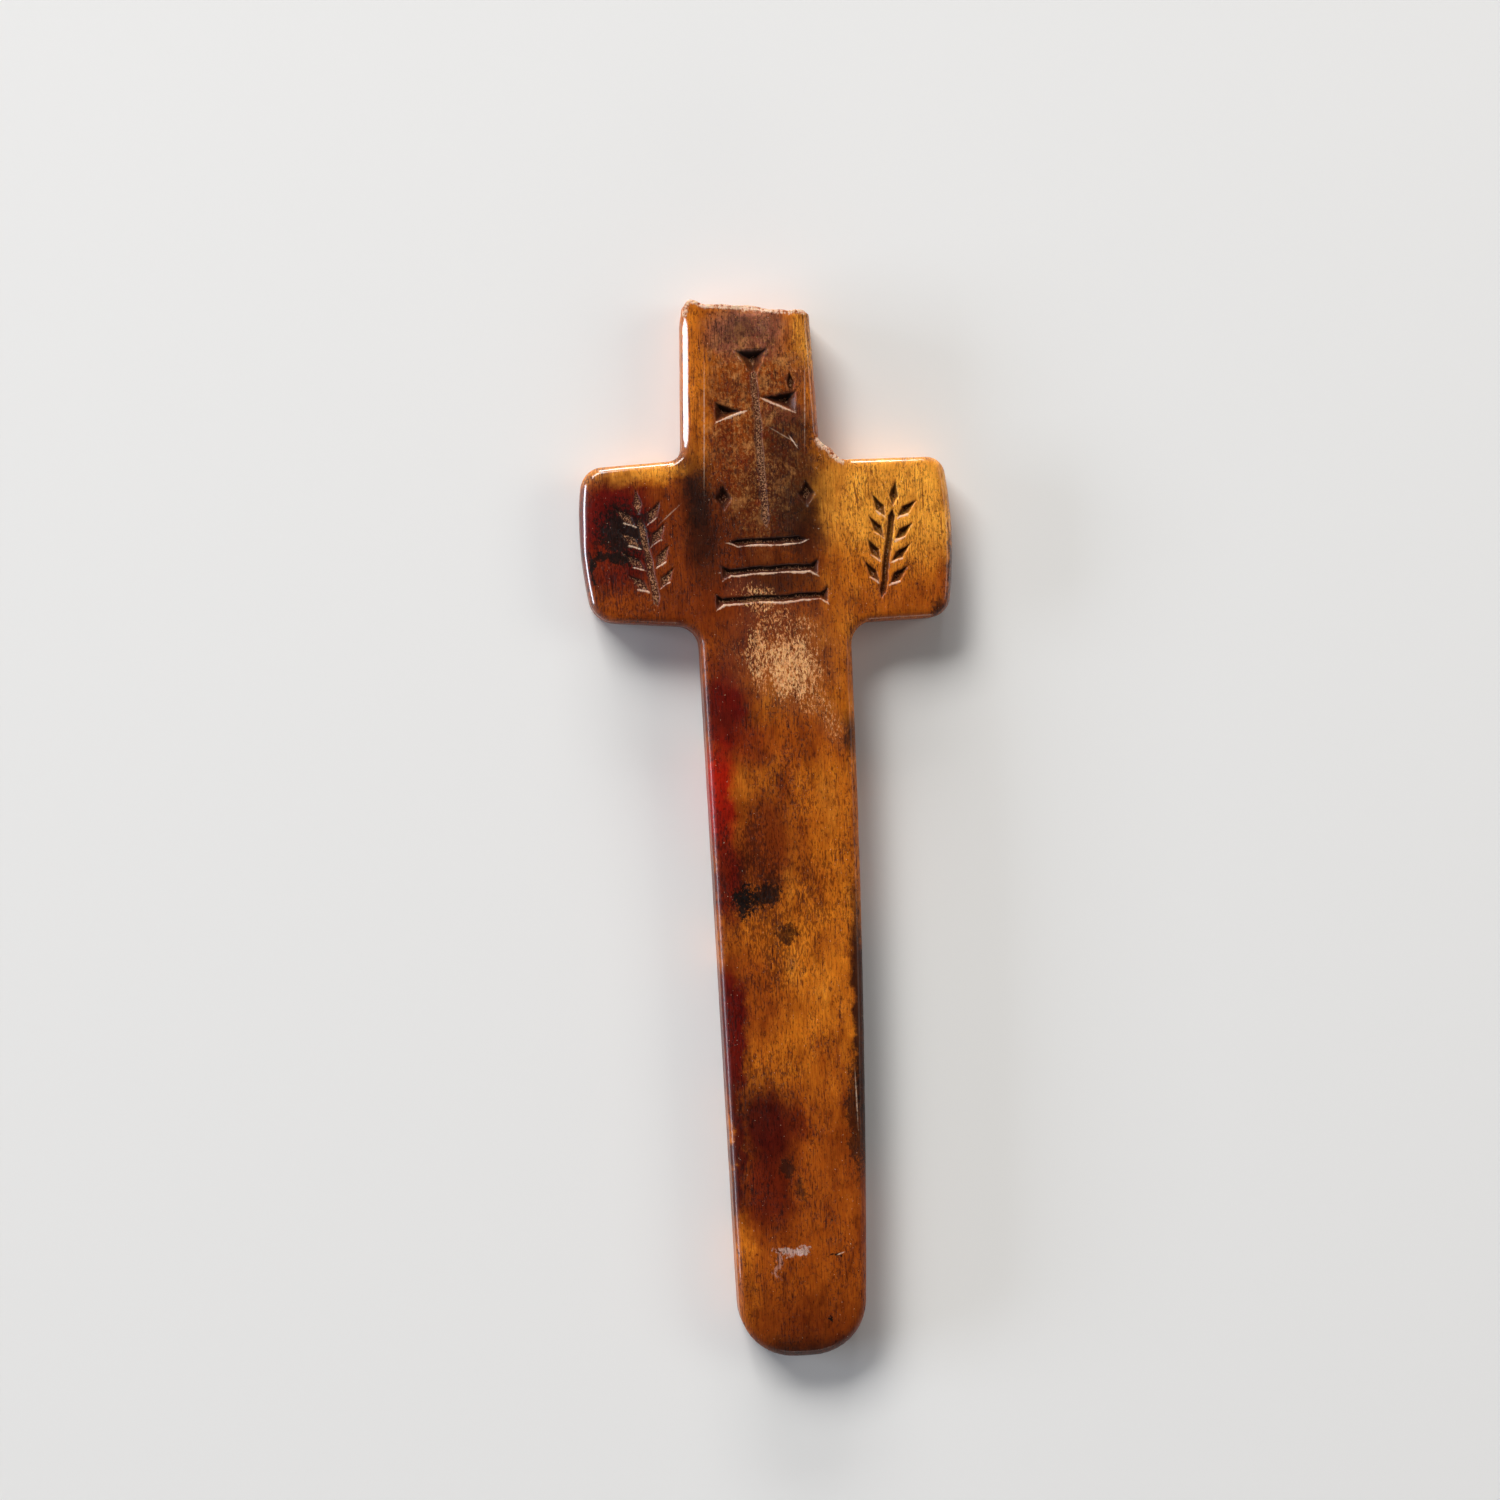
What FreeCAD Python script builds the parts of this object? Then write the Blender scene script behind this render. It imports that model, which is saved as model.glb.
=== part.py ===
# A small flat cross, whittled from one plate of bone and lying on its back.
#
# The cross is one solid. Its long axis runs along Y with the head towards +Y, its arms
# run along X, and the carved front faces +Z. The origin is the middle of the cross on
# the table, so the arms' ends are at half the span and the foot and head at half the
# length. The head is broken off square above the arms, where a hanging loop would be,
# and a splinter is missing from the right shoulder. The front is slightly crowned, as
# the outside of a bone is, it falls away at the foot, and the rims are worn round.
#
# The carving is chip work: every cut has slanting walls that meet in a narrow floor. It
# shows a small cross that stands on three steps between two lozenges, and a frond on
# each arm.
import FreeCAD, Part
import math
import os
import Sketcher
from FreeCAD import Vector

NODE = "bone_cross"

# Every driving dimension, in millimetres, degrees or a plain count.
SIZES = [
    ("overall_length", 60.0, "foot to the highest point of the broken top"),
    ("arm_span", 21.06, "end to end of the arms"),
    ("plate_thickness", 3.2, "at the middle of the front"),
    ("sawn_allowance", 0.5, "how much thicker the plate is before its front is shaped"),
    ("crown_radius", 110.0, "crown of the front, across the shaft"),
    ("head_length", 9.42, "from the arms' upper edge to the broken top"),
    ("head_root_width", 7.78, "head where it meets the arms"),
    ("head_top_width", 7.2, "head at the break"),
    ("head_offset", -0.75, "head's middle line, right of the arms' middle"),
    ("break_drop", 0.82, "how far the break falls from left to right"),
    ("shoulder_run", 1.55, "splintered right shoulder, along the arm"),
    ("shoulder_rise", 1.28, "splintered right shoulder, up the head"),
    ("left_arm_depth", 9.14, "left arm where it meets the shaft"),
    ("right_arm_depth", 9.23, "right arm where it meets the shaft"),
    ("left_arm_rise", 0.25, "the left arm's upper edge, its root above its end"),
    ("left_arm_lift", 0.49, "the left arm's lower edge, its end above its root"),
    ("right_arm_lift", 0.15, "the right arm's lower edge, its end above its root"),
    ("left_end_bow", 0.45, "bulge of the left arm's end"),
    ("left_end_lean", 0.36, "left end's lower corner, further in than the upper"),
    ("right_end_bow", 0.43, "bulge of the right arm's end"),
    ("shaft_offset", 0.24, "shaft's middle line, right of the arms' middle"),
    ("shaft_root_width", 8.55, "shaft below the arms"),
    ("shaft_foot_width", 7.03, "shaft at the foot"),
    ("shaft_bow", 0.27, "bulge of the shaft's right side"),
    ("foot_round", 3.1, "radius of the foot's two corners"),
    ("foot_slope_length", 5.2, "how far up the shaft the front falls away"),
    ("foot_slope_drop", 0.75, "how far the front falls by the foot"),
    ("left_neck_round", 0.9, "inside corner, left of the head"),
    ("left_armpit_round", 1.25, "inside corner under the left arm"),
    ("right_armpit_round", 1.3, "inside corner under the right arm"),
    ("left_upper_round", 1.25, "upper corner of the left end"),
    ("left_lower_round", 1.6, "lower corner of the left end"),
    ("right_upper_round", 1.05, "upper corner of the right end"),
    ("right_lower_round", 1.25, "lower corner of the right end"),
    ("front_rim_round", 0.38, "worn rim of the front"),
    ("back_rim_round", 0.35, "worn rim of the back"),
    ("entry_lift", 0.15, "height above the front at which a cut begins"),
    ("small_cross_height", 10.15, "small cross, foot to the top of its head"),
    ("small_cross_offset", -0.05, "foot of the small cross, right of the arms' middle"),
    ("small_cross_lean", 2.6, "lean of the small cross, its head to the left"),
    ("small_cross_gap", 0.28, "foot of the small cross above the upper step"),
    ("small_bar_rise", 7.0, "foot of the small cross to its bar"),
    ("left_wedge_drop", 0.3, "left wedge, below the bar"),
    ("left_wedge_reach", 2.38, "small cross's middle to the left end of its bar"),
    ("left_wedge_length", 1.65, "left wedge, tip to wide end"),
    ("left_wedge_width", 1.2, "left wedge, across its wide end"),
    ("right_wedge_reach", 2.32, "small cross's middle to the right end of its bar"),
    ("right_wedge_length", 2.14, "right wedge, tip to wide end"),
    ("right_wedge_width", 1.25, "right wedge, across its wide end"),
    ("right_wedge_fall", 8.0, "how far the right wedge points down"),
    ("head_wedge_length", 1.7, "head wedge, tip to wide end"),
    ("head_wedge_width", 2.05, "head wedge, across its wide end"),
    ("wedge_depth", 0.62, "wedges, at their deepest"),
    ("slip_length", 1.75, "slip of the knife over the right wedge"),
    ("slip_width", 0.5, "slip of the knife, across"),
    ("stroke_width", 0.42, "narrow cuts, across"),
    ("stroke_depth", 0.34, "narrow cuts, at their floor"),
    ("stroke_point", 0.5, "pointed end of a narrow cut"),
    ("stair_drop", 4.46, "arms' upper edge to the upper step"),
    ("stair_offset", 0.0, "middle of the steps, right of the arms' middle"),
    ("stair_lean", 1.5, "lean of the steps, rising to the right"),
    ("stair_pitch", 1.62, "one step to the next"),
    ("upper_step_length", 4.45, "upper step, end to end"),
    ("step_growth", 1.0, "how much longer each step is than the one above"),
    ("step_wedge_length", 0.85, "wedge at a step's end, tip to wide end"),
    ("step_wedge_width", 0.95, "wedge at a step's end, across"),
    ("lozenge_length", 1.6, "lozenge, along the shaft"),
    ("lozenge_width", 1.0, "lozenge, across the shaft"),
    ("lozenge_depth", 0.45, "lozenge, at its deepest"),
    ("lozenge_reach", 2.35, "middle of the steps to the middle of a lozenge"),
    ("lozenge_rise", 2.55, "upper step to the middle of a lozenge"),
    ("frond_length", 6.9, "frond, foot to the tip of its last leaf"),
    ("frond_lean", 9.0, "lean of a frond, its tip away from the shaft"),
    ("leaf_length", 1.6, "leaf, foot to tip"),
    ("leaf_width", 0.58, "leaf, at its widest"),
    ("leaf_depth", 0.34, "leaf, at its deepest"),
    ("leaf_spread", 40.0, "angle between a leaf and the stem"),
    ("leaf_pitch", 1.25, "leaf to leaf along the stem"),
    ("leaf_gap", 0.3, "middle of the stem to a leaf's foot"),
    ("first_leaf", 0.95, "foot of the stem to the first pair of leaves"),
    ("leaf_pairs", 4, "pairs of leaves on a frond"),
]

# The broken top, from left to right: share of the head's top width, share of the drop.
TOP_BREAK = [
    (0.0, 0.62), (0.03, 0.16), (0.07, 0.0), (0.16, 0.30), (0.38, 0.56), (0.45, 0.50),
    (0.60, 0.71), (0.73, 0.92), (0.955, 1.0), (1.0, 1.45),
]
# The splintered shoulder, downwards: share of its run, share of its rise.
SHOULDER = [(0.0, 1.0), (0.22, 0.72), (0.44, 0.52), (0.72, 0.09), (1.0, 0.0)]

# Shares that give the outline and the cuts their form.
LEFT_BELLY = 0.4  # the left end bulges most this far down
RIGHT_BELLY = 0.5  # the right end bulges most this far down
SHAFT_BELLY = 0.47  # the shaft's right side bulges most this far down
WEDGE_HEEL = 0.3  # the deepest point of a wedge, from its wide end
LEAF_BELLY = 0.4  # the widest point of a leaf, from its foot
FLOOR = 0.08  # how wide a cut's floor is, as a share of its mouth
STEPS = 3

# Levels and edges that several features share, as expressions on the sheet.
ARM_END = "sizes.arm_span / 2"
TOP = "sizes.overall_length / 2"
FOOT = "(-sizes.overall_length / 2)"
ARM_TOP = "(sizes.overall_length / 2 - sizes.head_length)"
LEFT_ARM_LOW = f"({ARM_TOP} - sizes.left_arm_depth)"
RIGHT_ARM_LOW = f"({ARM_TOP} - sizes.right_arm_depth)"
HEAD_LEFT = "(sizes.head_offset - sizes.head_top_width / 2)"
NECK_LEFT = "(sizes.head_offset - sizes.head_root_width / 2)"
NECK_RIGHT = "(sizes.head_offset + sizes.head_root_width / 2)"
SHAFT_LEFT = "(sizes.shaft_offset - sizes.shaft_root_width / 2)"
SHAFT_RIGHT = "(sizes.shaft_offset + sizes.shaft_root_width / 2)"
FOOT_LEFT = "(sizes.shaft_offset - sizes.shaft_foot_width / 2)"
FOOT_RIGHT = "(sizes.shaft_offset + sizes.shaft_foot_width / 2)"
LONGEST_STEP = f"(sizes.upper_step_length + {STEPS - 1} * sizes.step_growth)"

# The outline's corners that are rounded later.
LEFT_NECK = (NECK_LEFT, f"({ARM_TOP} + sizes.left_arm_rise)")
LEFT_UPPER = (f"(-{ARM_END} + sizes.left_end_bow - sizes.left_end_lean / 2)", ARM_TOP)
LEFT_LOWER = (
    f"(-{ARM_END} + sizes.left_end_bow + sizes.left_end_lean / 2)",
    f"({LEFT_ARM_LOW} + sizes.left_arm_lift)",
)
RIGHT_LOWER = (
    f"({ARM_END} - sizes.right_end_bow)",
    f"({RIGHT_ARM_LOW} + sizes.right_arm_lift)",
)
RIGHT_UPPER = (f"({ARM_END} - sizes.right_end_bow)", ARM_TOP)
CORNER_ROUNDS = [
    ("foot_round", [(FOOT_LEFT, FOOT), (FOOT_RIGHT, FOOT)]),
    ("left_neck_round", [LEFT_NECK]),
    ("left_armpit_round", [(SHAFT_LEFT, LEFT_ARM_LOW)]),
    ("right_armpit_round", [(SHAFT_RIGHT, RIGHT_ARM_LOW)]),
    ("left_upper_round", [LEFT_UPPER]),
    ("left_lower_round", [LEFT_LOWER]),
    ("right_upper_round", [RIGHT_UPPER]),
    ("right_lower_round", [RIGHT_LOWER]),
]

doc = FreeCAD.newDocument(NODE)


def make_sheet():
    """The spreadsheet that holds every driving dimension."""
    sheet = doc.addObject("Spreadsheet::Sheet", "sizes")
    for row, (alias, value, note) in enumerate(SIZES, start=1):
        sheet.set(f"A{row}", alias)
        sheet.set(f"B{row}", str(value))
        sheet.set(f"C{row}", note)
        sheet.setAlias(f"B{row}", alias)
    doc.recompute()


def value_of(expression):
    """What an expression on the sheet comes to now."""
    return float(doc.getObject("sizes").evalExpression(expression))


def place_of(pair):
    """The point that a pair of expressions gives."""
    return Vector(value_of(pair[0]), value_of(pair[1]), 0)


def new_sketch(body, name, role):
    """An empty sketch on one of the body's own origin planes."""
    sketch = body.newObject("Sketcher::SketchObject", name)
    plane = next(f for f in body.Origin.OriginFeatures if f.Role == role)
    sketch.AttachmentSupport = (plane, [""])
    sketch.MapMode = "FlatFace"
    return sketch


def pin(sketch, edge, end, pair):
    """Ties one end of a line or arc, or a lone point, to the place that a pair gives."""
    for kind, expression in (("DistanceX", pair[0]), ("DistanceY", pair[1])):
        number = sketch.addConstraint(
            Sketcher.Constraint(kind, -1, 1, edge, end, value_of(expression))
        )
        tie = f"{kind}_{edge}_{end}"
        sketch.renameConstraint(number, tie)
        sketch.setExpression(f"Constraints.{tie}", expression)


def end_at(sketch, edge, place):
    """Which end of an edge lies at a place: 1 for its start, 2 for its end."""
    shape = sketch.Geometry[edge]
    from_start = (shape.StartPoint - place).Length
    return 1 if from_start <= (shape.EndPoint - place).Length else 2


def draw_loop(sketch, corners):
    """A closed outline. A corner is (x, y), or (x, y, belly) where an arc through the
    belly leads on from it, turning to the left."""
    places = [place_of(corner) for corner in corners]
    edges = []
    for number, corner in enumerate(corners):
        start = places[number]
        end = places[(number + 1) % len(places)]
        if len(corner) == 3:
            shape = Part.Arc(start, place_of(corner[2]), end)
        else:
            shape = Part.LineSegment(start, end)
        edges.append(sketch.addGeometry(shape))
    for number, corner in enumerate(corners):
        edge = edges[number]
        before = edges[number - 1]
        own = end_at(sketch, edge, places[number])
        other = end_at(sketch, before, places[number])
        sketch.addConstraint(Sketcher.Constraint("Coincident", before, other, edge, own))
        pin(sketch, edge, own, corner)
        if len(corner) == 3:
            point = sketch.addGeometry(Part.Point(place_of(corner[2])), True)
            pin(sketch, point, 1, corner[2])
            sketch.addConstraint(Sketcher.Constraint("PointOnObject", point, 1, edge))


def outline_corners():
    """The cross's corners before they are rounded, from the break round to the left."""
    top_break = [
        (
            f"{HEAD_LEFT} + {along} * sizes.head_top_width",
            f"{TOP} - {down} * sizes.break_drop",
        )
        for along, down in reversed(TOP_BREAK)
    ]
    left_belly = (f"-{ARM_END}", f"{ARM_TOP} - {LEFT_BELLY} * sizes.left_arm_depth")
    right_belly = (ARM_END, f"{ARM_TOP} - {RIGHT_BELLY} * sizes.right_arm_depth")
    shaft_belly = (
        f"{SHAFT_RIGHT} + {SHAFT_BELLY} * ({FOOT_RIGHT} - {SHAFT_RIGHT}) + sizes.shaft_bow",
        f"{RIGHT_ARM_LOW} + {SHAFT_BELLY} * ({FOOT} - {RIGHT_ARM_LOW})",
    )
    shoulder = [
        (
            f"{NECK_RIGHT} + {run} * sizes.shoulder_run",
            f"{ARM_TOP} + {rise} * sizes.shoulder_rise",
        )
        for run, rise in reversed(SHOULDER)
    ]
    return [
        *top_break,
        LEFT_NECK,
        (*LEFT_UPPER, left_belly),
        LEFT_LOWER,
        (SHAFT_LEFT, LEFT_ARM_LOW),
        (FOOT_LEFT, FOOT),
        (FOOT_RIGHT, FOOT, shaft_belly),
        (SHAFT_RIGHT, RIGHT_ARM_LOW),
        (*RIGHT_LOWER, right_belly),
        RIGHT_UPPER,
        *shoulder,
    ]


def cut_across(body, name, role, corners):
    """Takes off everything inside an outline that is drawn from the side."""
    sketch = new_sketch(body, f"{name}_outline", role)
    draw_loop(sketch, corners)
    pocket = body.newObject("PartDesign::Pocket", name)
    pocket.Profile = sketch
    pocket.Type = "ThroughAll"
    pocket.SideType = "Symmetric"
    doc.recompute()


def upright_edges(shape, corners):
    """The names of the upright edges nearest to the corners."""
    upright = []
    for number, edge in enumerate(shape.Edges, start=1):
        ends = [vertex.Point for vertex in edge.Vertexes]
        if len(ends) == 2 and math.dist(ends[0][:2], ends[1][:2]) < 1e-6:
            upright.append((ends[0], f"Edge{number}"))
    names = []
    for corner in corners:
        place = place_of(corner)
        names.append(min(upright, key=lambda item: math.dist(item[0][:2], place[:2]))[1])
    return names


def rim_edges(shape, at_front):
    """The names of the edges round the front or the back. The broken top and the
    splintered shoulder stay sharp, and the line across the front where the foot begins
    to fall is softened with the rim."""
    head_right = value_of(NECK_RIGHT) - 1e-4
    arm_top = value_of(ARM_TOP) - 1e-4
    splinter_end = head_right + value_of("sizes.shoulder_run") + 2e-4
    splinter_top = arm_top + value_of("sizes.shoulder_rise") + 2e-4
    break_low = value_of(f"{TOP} - {TOP_BREAK[-1][1]} * sizes.break_drop") - 1e-4
    middle = value_of("(sizes.plate_thickness - sizes.foot_slope_drop) / 2")
    names = []
    for number, edge in enumerate(shape.Edges, start=1):
        ends = [vertex.Point for vertex in edge.Vertexes]
        on_side = all((end.z > middle) == at_front for end in ends)
        broken = all(end.y > break_low for end in ends)
        splintered = all(
            head_right < end.x < splinter_end and arm_top < end.y < splinter_top
            for end in ends
        )
        if on_side and not broken and not splintered:
            names.append(f"Edge{number}")
    return names


def round_edges(body, alias, names, limit=None):
    """Rounds the named edges of the body as it is now, within a limit if there is one."""
    base = body.Tip
    fillet = body.newObject("PartDesign::Fillet", alias)
    fillet.Base = (base, names)
    radius = f"min(sizes.{alias}; {limit})" if limit else f"sizes.{alias}"
    fillet.setExpression("Radius", radius)
    doc.recompute()


def build_blank(body):
    """The cross before it is carved."""
    outline = new_sketch(body, "outline", "XY_Plane")
    draw_loop(outline, outline_corners())
    plate = body.newObject("PartDesign::Pad", "plate")
    plate.Profile = outline
    plate.setExpression("Length", "sizes.plate_thickness + sizes.sawn_allowance")
    doc.recompute()
    for alias, corners in CORNER_ROUNDS:
        names = upright_edges(body.Tip.Shape, corners)
        # The foot's two rounds leave a flat between them, however narrow the foot is.
        limit = "0.47 * sizes.shaft_foot_width" if alias == "foot_round" else None
        round_edges(body, alias, names, limit)

    # The crown: all that stands above a wide arch across the cross comes off.
    side = f"({ARM_END} + 1)"
    springing = f"sizes.plate_thickness - sizes.crown_radius + sqrt(sizes.crown_radius ^ 2 - {side} ^ 2)"
    above = "sizes.plate_thickness + 2 * sizes.sawn_allowance"
    cut_across(body, "crown", "XZ_Plane", [
        (side, springing, ("0", "sizes.plate_thickness")),
        (f"-{side}", springing),
        (f"-{side}", above),
        (side, above),
    ])

    # The foot: the front falls away along a worn slope, past the foot's edge.
    start = f"({FOOT} + sizes.foot_slope_length)"
    past = "sizes.sawn_allowance"
    cut_across(body, "worn_foot", "YZ_Plane", [
        (start, "sizes.plate_thickness"),
        (
            f"{FOOT} - {past}",
            "sizes.plate_thickness - sizes.foot_slope_drop"
            f" * (1 + {past} / sizes.foot_slope_length)",
        ),
        (f"{FOOT} - {past}", above),
        (start, above),
    ])
    for alias, at_front in (("front_rim_round", True), ("back_rim_round", False)):
        names = rim_edges(body.Tip.Shape, at_front)
        round_edges(body, alias, names)


def moved(at, turn, ahead, right="0"):
    """The place that lies ahead and to the right of another, for someone there who
    faces the head of the cross turned to the left by an angle."""
    x, y = at
    return (
        f"({x} - ({ahead}) * sin({turn}) + ({right}) * cos({turn}))",
        f"({y} + ({ahead}) * cos({turn}) + ({right}) * sin({turn}))",
    )


def chip(chips, name, mouth, floor, depth, at, turn):
    """One cut of the knife, standing at a place and turned to the left by an angle.
    Mouth and floor are corners ahead and to the right of it. The mouth lies on the
    front, and the cut begins above it with walls of the same slant."""
    front = (
        "sizes.plate_thickness - sizes.crown_radius"
        f" + sqrt(sizes.crown_radius ^ 2 - ({at[0]}) ^ 2)"
    )
    wider = [
        tuple(f"{m} + ({m} - ({f})) * sizes.entry_lift / {depth}" for m, f in zip(*pair))
        for pair in zip(mouth, floor)
    ]
    rings = []
    for part, corners, level in (
        ("mouth", wider, f"{front} + sizes.entry_lift"),
        ("floor", floor, f"{front} - {depth}"),
    ):
        ring = new_sketch(chips, f"{name}_{part}", "XY_Plane")
        ring.setExpression("AttachmentOffset.Base.x", at[0])
        ring.setExpression("AttachmentOffset.Base.y", at[1])
        ring.setExpression("AttachmentOffset.Base.z", level)
        ring.setExpression("AttachmentOffset.Rotation.Angle", turn)
        draw_loop(ring, corners)
        rings.append(ring)
    loft = chips.newObject("PartDesign::AdditiveLoft", name)
    loft.Profile = rings[0]
    loft.Sections = [rings[1]]
    loft.Ruled = True
    loft.Refine = False


def wedge(chips, name, length, width, depth, at, turn):
    """A triangular chip with its tip at the place, its wide end ahead."""
    heel = f"(1 - {WEDGE_HEEL}) * {length}"
    chip(
        chips,
        name,
        [("0", "0"), (f"{width} / 2", length), (f"-{width} / 2", length)],
        [
            ("0", f"{heel} - {FLOOR} * {length}"),
            (f"{FLOOR} * {width} / 2", heel),
            (f"-{FLOOR} * {width} / 2", heel),
        ],
        depth,
        at,
        turn,
    )


def stroke(chips, name, length, at, turn):
    """A long narrow cut that starts at the place and runs ahead."""
    half = "sizes.stroke_width / 2"
    point = "sizes.stroke_point"
    chip(
        chips,
        name,
        [
            ("0", "0"),
            (half, point),
            (half, f"{length} - {point}"),
            ("0", length),
            (f"-{half}", f"{length} - {point}"),
            (f"-{half}", point),
        ],
        [
            ("0", f"{point} * 0.8"),
            (f"{FLOOR} * {half}", point),
            (f"{FLOOR} * {half}", f"{length} - {point}"),
            ("0", f"{length} - {point} * 0.8"),
            (f"-{FLOOR} * {half}", f"{length} - {point}"),
            (f"-{FLOOR} * {half}", point),
        ],
        "sizes.stroke_depth",
        at,
        turn,
    )


def lozenge(chips, name, length, width, belly, depth, at, turn):
    """A pointed chip with its foot at the place, widest at a share of its length."""
    widest = f"{belly} * {length}"
    chip(
        chips,
        name,
        [("0", "0"), (f"{width} / 2", widest), ("0", length), (f"-{width} / 2", widest)],
        [
            ("0", f"{widest} * 0.6"),
            (f"{FLOOR} * {width} / 2", widest),
            ("0", f"{length} - ({length} - {widest}) * 0.6"),
            (f"-{FLOOR} * {width} / 2", widest),
        ],
        depth,
        at,
        turn,
    )


def carve_small_cross(chips, stair):
    """The small cross over the upper step: a stem and three wedges."""
    lean = "sizes.small_cross_lean"
    foot = ("sizes.small_cross_offset", f"({stair[1]} + sizes.stroke_width + sizes.small_cross_gap)")
    depth = "sizes.wedge_depth"
    stem = "sizes.small_cross_height - sizes.head_wedge_length * 0.5"
    stroke(chips, "small_stem", f"({stem})", foot, lean)
    tip = moved(foot, lean, "sizes.small_cross_height - sizes.head_wedge_length")
    wedge(chips, "head_wedge", "sizes.head_wedge_length", "sizes.head_wedge_width", depth, tip, lean)
    left = moved(
        foot, lean, "sizes.small_bar_rise - sizes.left_wedge_drop",
        "-(sizes.left_wedge_reach - sizes.left_wedge_length)",
    )
    wedge(
        chips, "left_wedge", "sizes.left_wedge_length", "sizes.left_wedge_width", depth,
        left, "90",
    )
    fall = "-(90 + sizes.right_wedge_fall)"
    end = moved(foot, lean, "sizes.small_bar_rise", "sizes.right_wedge_reach")
    right = moved(end, fall, "-sizes.right_wedge_length")
    wedge(
        chips, "right_wedge", "sizes.right_wedge_length", "sizes.right_wedge_width", depth,
        right, fall,
    )
    slip = moved(end, fall, "-sizes.slip_width / 2")
    lozenge(
        chips, "knife_slip", "sizes.slip_length", "sizes.slip_width", 0.6,
        "sizes.stroke_depth", slip, "sizes.small_cross_lean",
    )


def carve_stair(chips, stair):
    """Three steps, each longer than the one above, with a wedge at both ends."""
    for step in range(STEPS):
        length = f"(sizes.upper_step_length + {step} * sizes.step_growth)"
        middle = moved(stair, "sizes.stair_lean", f"-{step} * sizes.stair_pitch")
        ahead = "(sizes.stair_lean - 90)"
        stroke(chips, f"step_{step + 1}", length, moved(middle, ahead, f"-{length} / 2"), ahead)
        for side, turn in (("left", "(sizes.stair_lean + 90)"), ("right", ahead)):
            if step == 0:
                continue
            tip = moved(middle, turn, f"{length} / 2 - sizes.step_wedge_length")
            wedge(
                chips, f"step_{step + 1}_{side}", "sizes.step_wedge_length",
                "sizes.step_wedge_width", "sizes.stroke_depth", tip, turn,
            )


def carve_lozenges(chips, stair):
    """A lozenge on each side of the small cross."""
    for side, sign in (("left", "-"), ("right", "")):
        middle = moved(stair, "sizes.stair_lean", "sizes.lozenge_rise", f"{sign}sizes.lozenge_reach")
        foot = moved(middle, "sizes.stair_lean", "-sizes.lozenge_length / 2")
        lozenge(
            chips, f"{side}_lozenge", "sizes.lozenge_length", "sizes.lozenge_width", 0.5,
            "sizes.lozenge_depth", foot, "sizes.stair_lean",
        )


def carve_frond(chips, side, sign, arm_depth):
    """A frond between the stair and an arm's end: a stem, pairs of leaves and a last
    leaf at its tip."""
    lean = f"(-({sign}1) * sizes.frond_lean)"
    middle = (f"({sign}({ARM_END} + {LONGEST_STEP} / 2) / 2)", f"({ARM_TOP} - {arm_depth} / 2)")
    foot = moved(middle, lean, "-sizes.frond_length / 2")
    stem = "(sizes.frond_length - sizes.leaf_length)"
    stroke(chips, f"{side}_stem", stem, foot, lean)
    leaf = ("sizes.leaf_length", "sizes.leaf_width", LEAF_BELLY, "sizes.leaf_depth")
    for pair in range(int(value_of("sizes.leaf_pairs"))):
        ahead = f"(sizes.first_leaf + {pair} * sizes.leaf_pitch)"
        for hand, way in (("left", "-"), ("right", "+")):
            at = moved(foot, lean, ahead, f"{way}sizes.leaf_gap")
            turn = f"({lean} - ({way}1) * sizes.leaf_spread)"
            lozenge(chips, f"{side}_leaf_{hand}_{pair + 1}", *leaf, at, turn)
    lozenge(chips, f"{side}_tip_leaf", *leaf, moved(foot, lean, stem), lean)


def carve(body):
    """All the chip work on the front: what the knife takes out is a body of its own,
    and it comes off the cross in one cut."""
    chips = doc.addObject("PartDesign::Body", "chips")
    stair = ("sizes.stair_offset", f"({ARM_TOP} - sizes.stair_drop)")
    carve_small_cross(chips, stair)
    carve_stair(chips, stair)
    carve_lozenges(chips, stair)
    carve_frond(chips, "left", "-", "sizes.left_arm_depth")
    carve_frond(chips, "right", "+", "sizes.right_arm_depth")
    doc.recompute()
    carving = body.newObject("PartDesign::Boolean", "carving")
    carving.Type = "Cut"
    carving.setObjects([chips])
    doc.recompute()


def check_all():
    """Stops if a feature failed, if a cut took nothing off, or if the cross is not one
    sound solid."""
    for thing in doc.Objects:
        if "Invalid" in thing.State or "Error" in thing.State:
            raise RuntimeError(f"{thing.Name} failed: {thing.getStatusString()}")
    order = ["plate", "crown", "worn_foot", "carving"]
    volumes = [doc.getObject(name).Shape.Volume for name in order]
    if volumes != sorted(volumes, reverse=True):
        raise RuntimeError("a cut took nothing off")
    shape = cross.Shape
    if shape.isNull() or not shape.isValid() or len(shape.Solids) != 1:
        raise RuntimeError("the cross is not one sound solid")


make_sheet()
cross = doc.addObject("PartDesign::Body", "cross")
cross.Label = NODE
build_blank(cross)
carve(cross)
doc.recompute()
check_all()
os.makedirs("parts", exist_ok=True)
cross.Shape.exportStep(os.path.join("parts", f"{cross.Label}.step"))
print(cross.Label, "volume", round(cross.Shape.Volume, 1), "faces", len(cross.Shape.Faces))
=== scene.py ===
# %% [markdown]
# # A bone cross, dressed for the camera
# The real thing is one plate of bone, whittled to a cross, carved with a knife and worn in
# the hand until it turned amber and brown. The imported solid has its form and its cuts.
# This lesson puts a finer mesh in its place, with worn rims, a splintered top and grainy
# cuts, and then finishes it with one bone material that is made of nodes alone.

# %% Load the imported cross
import math

import bpy
import numpy as np
from mathutils import Matrix, Vector, geometry, kdtree, noise


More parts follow.
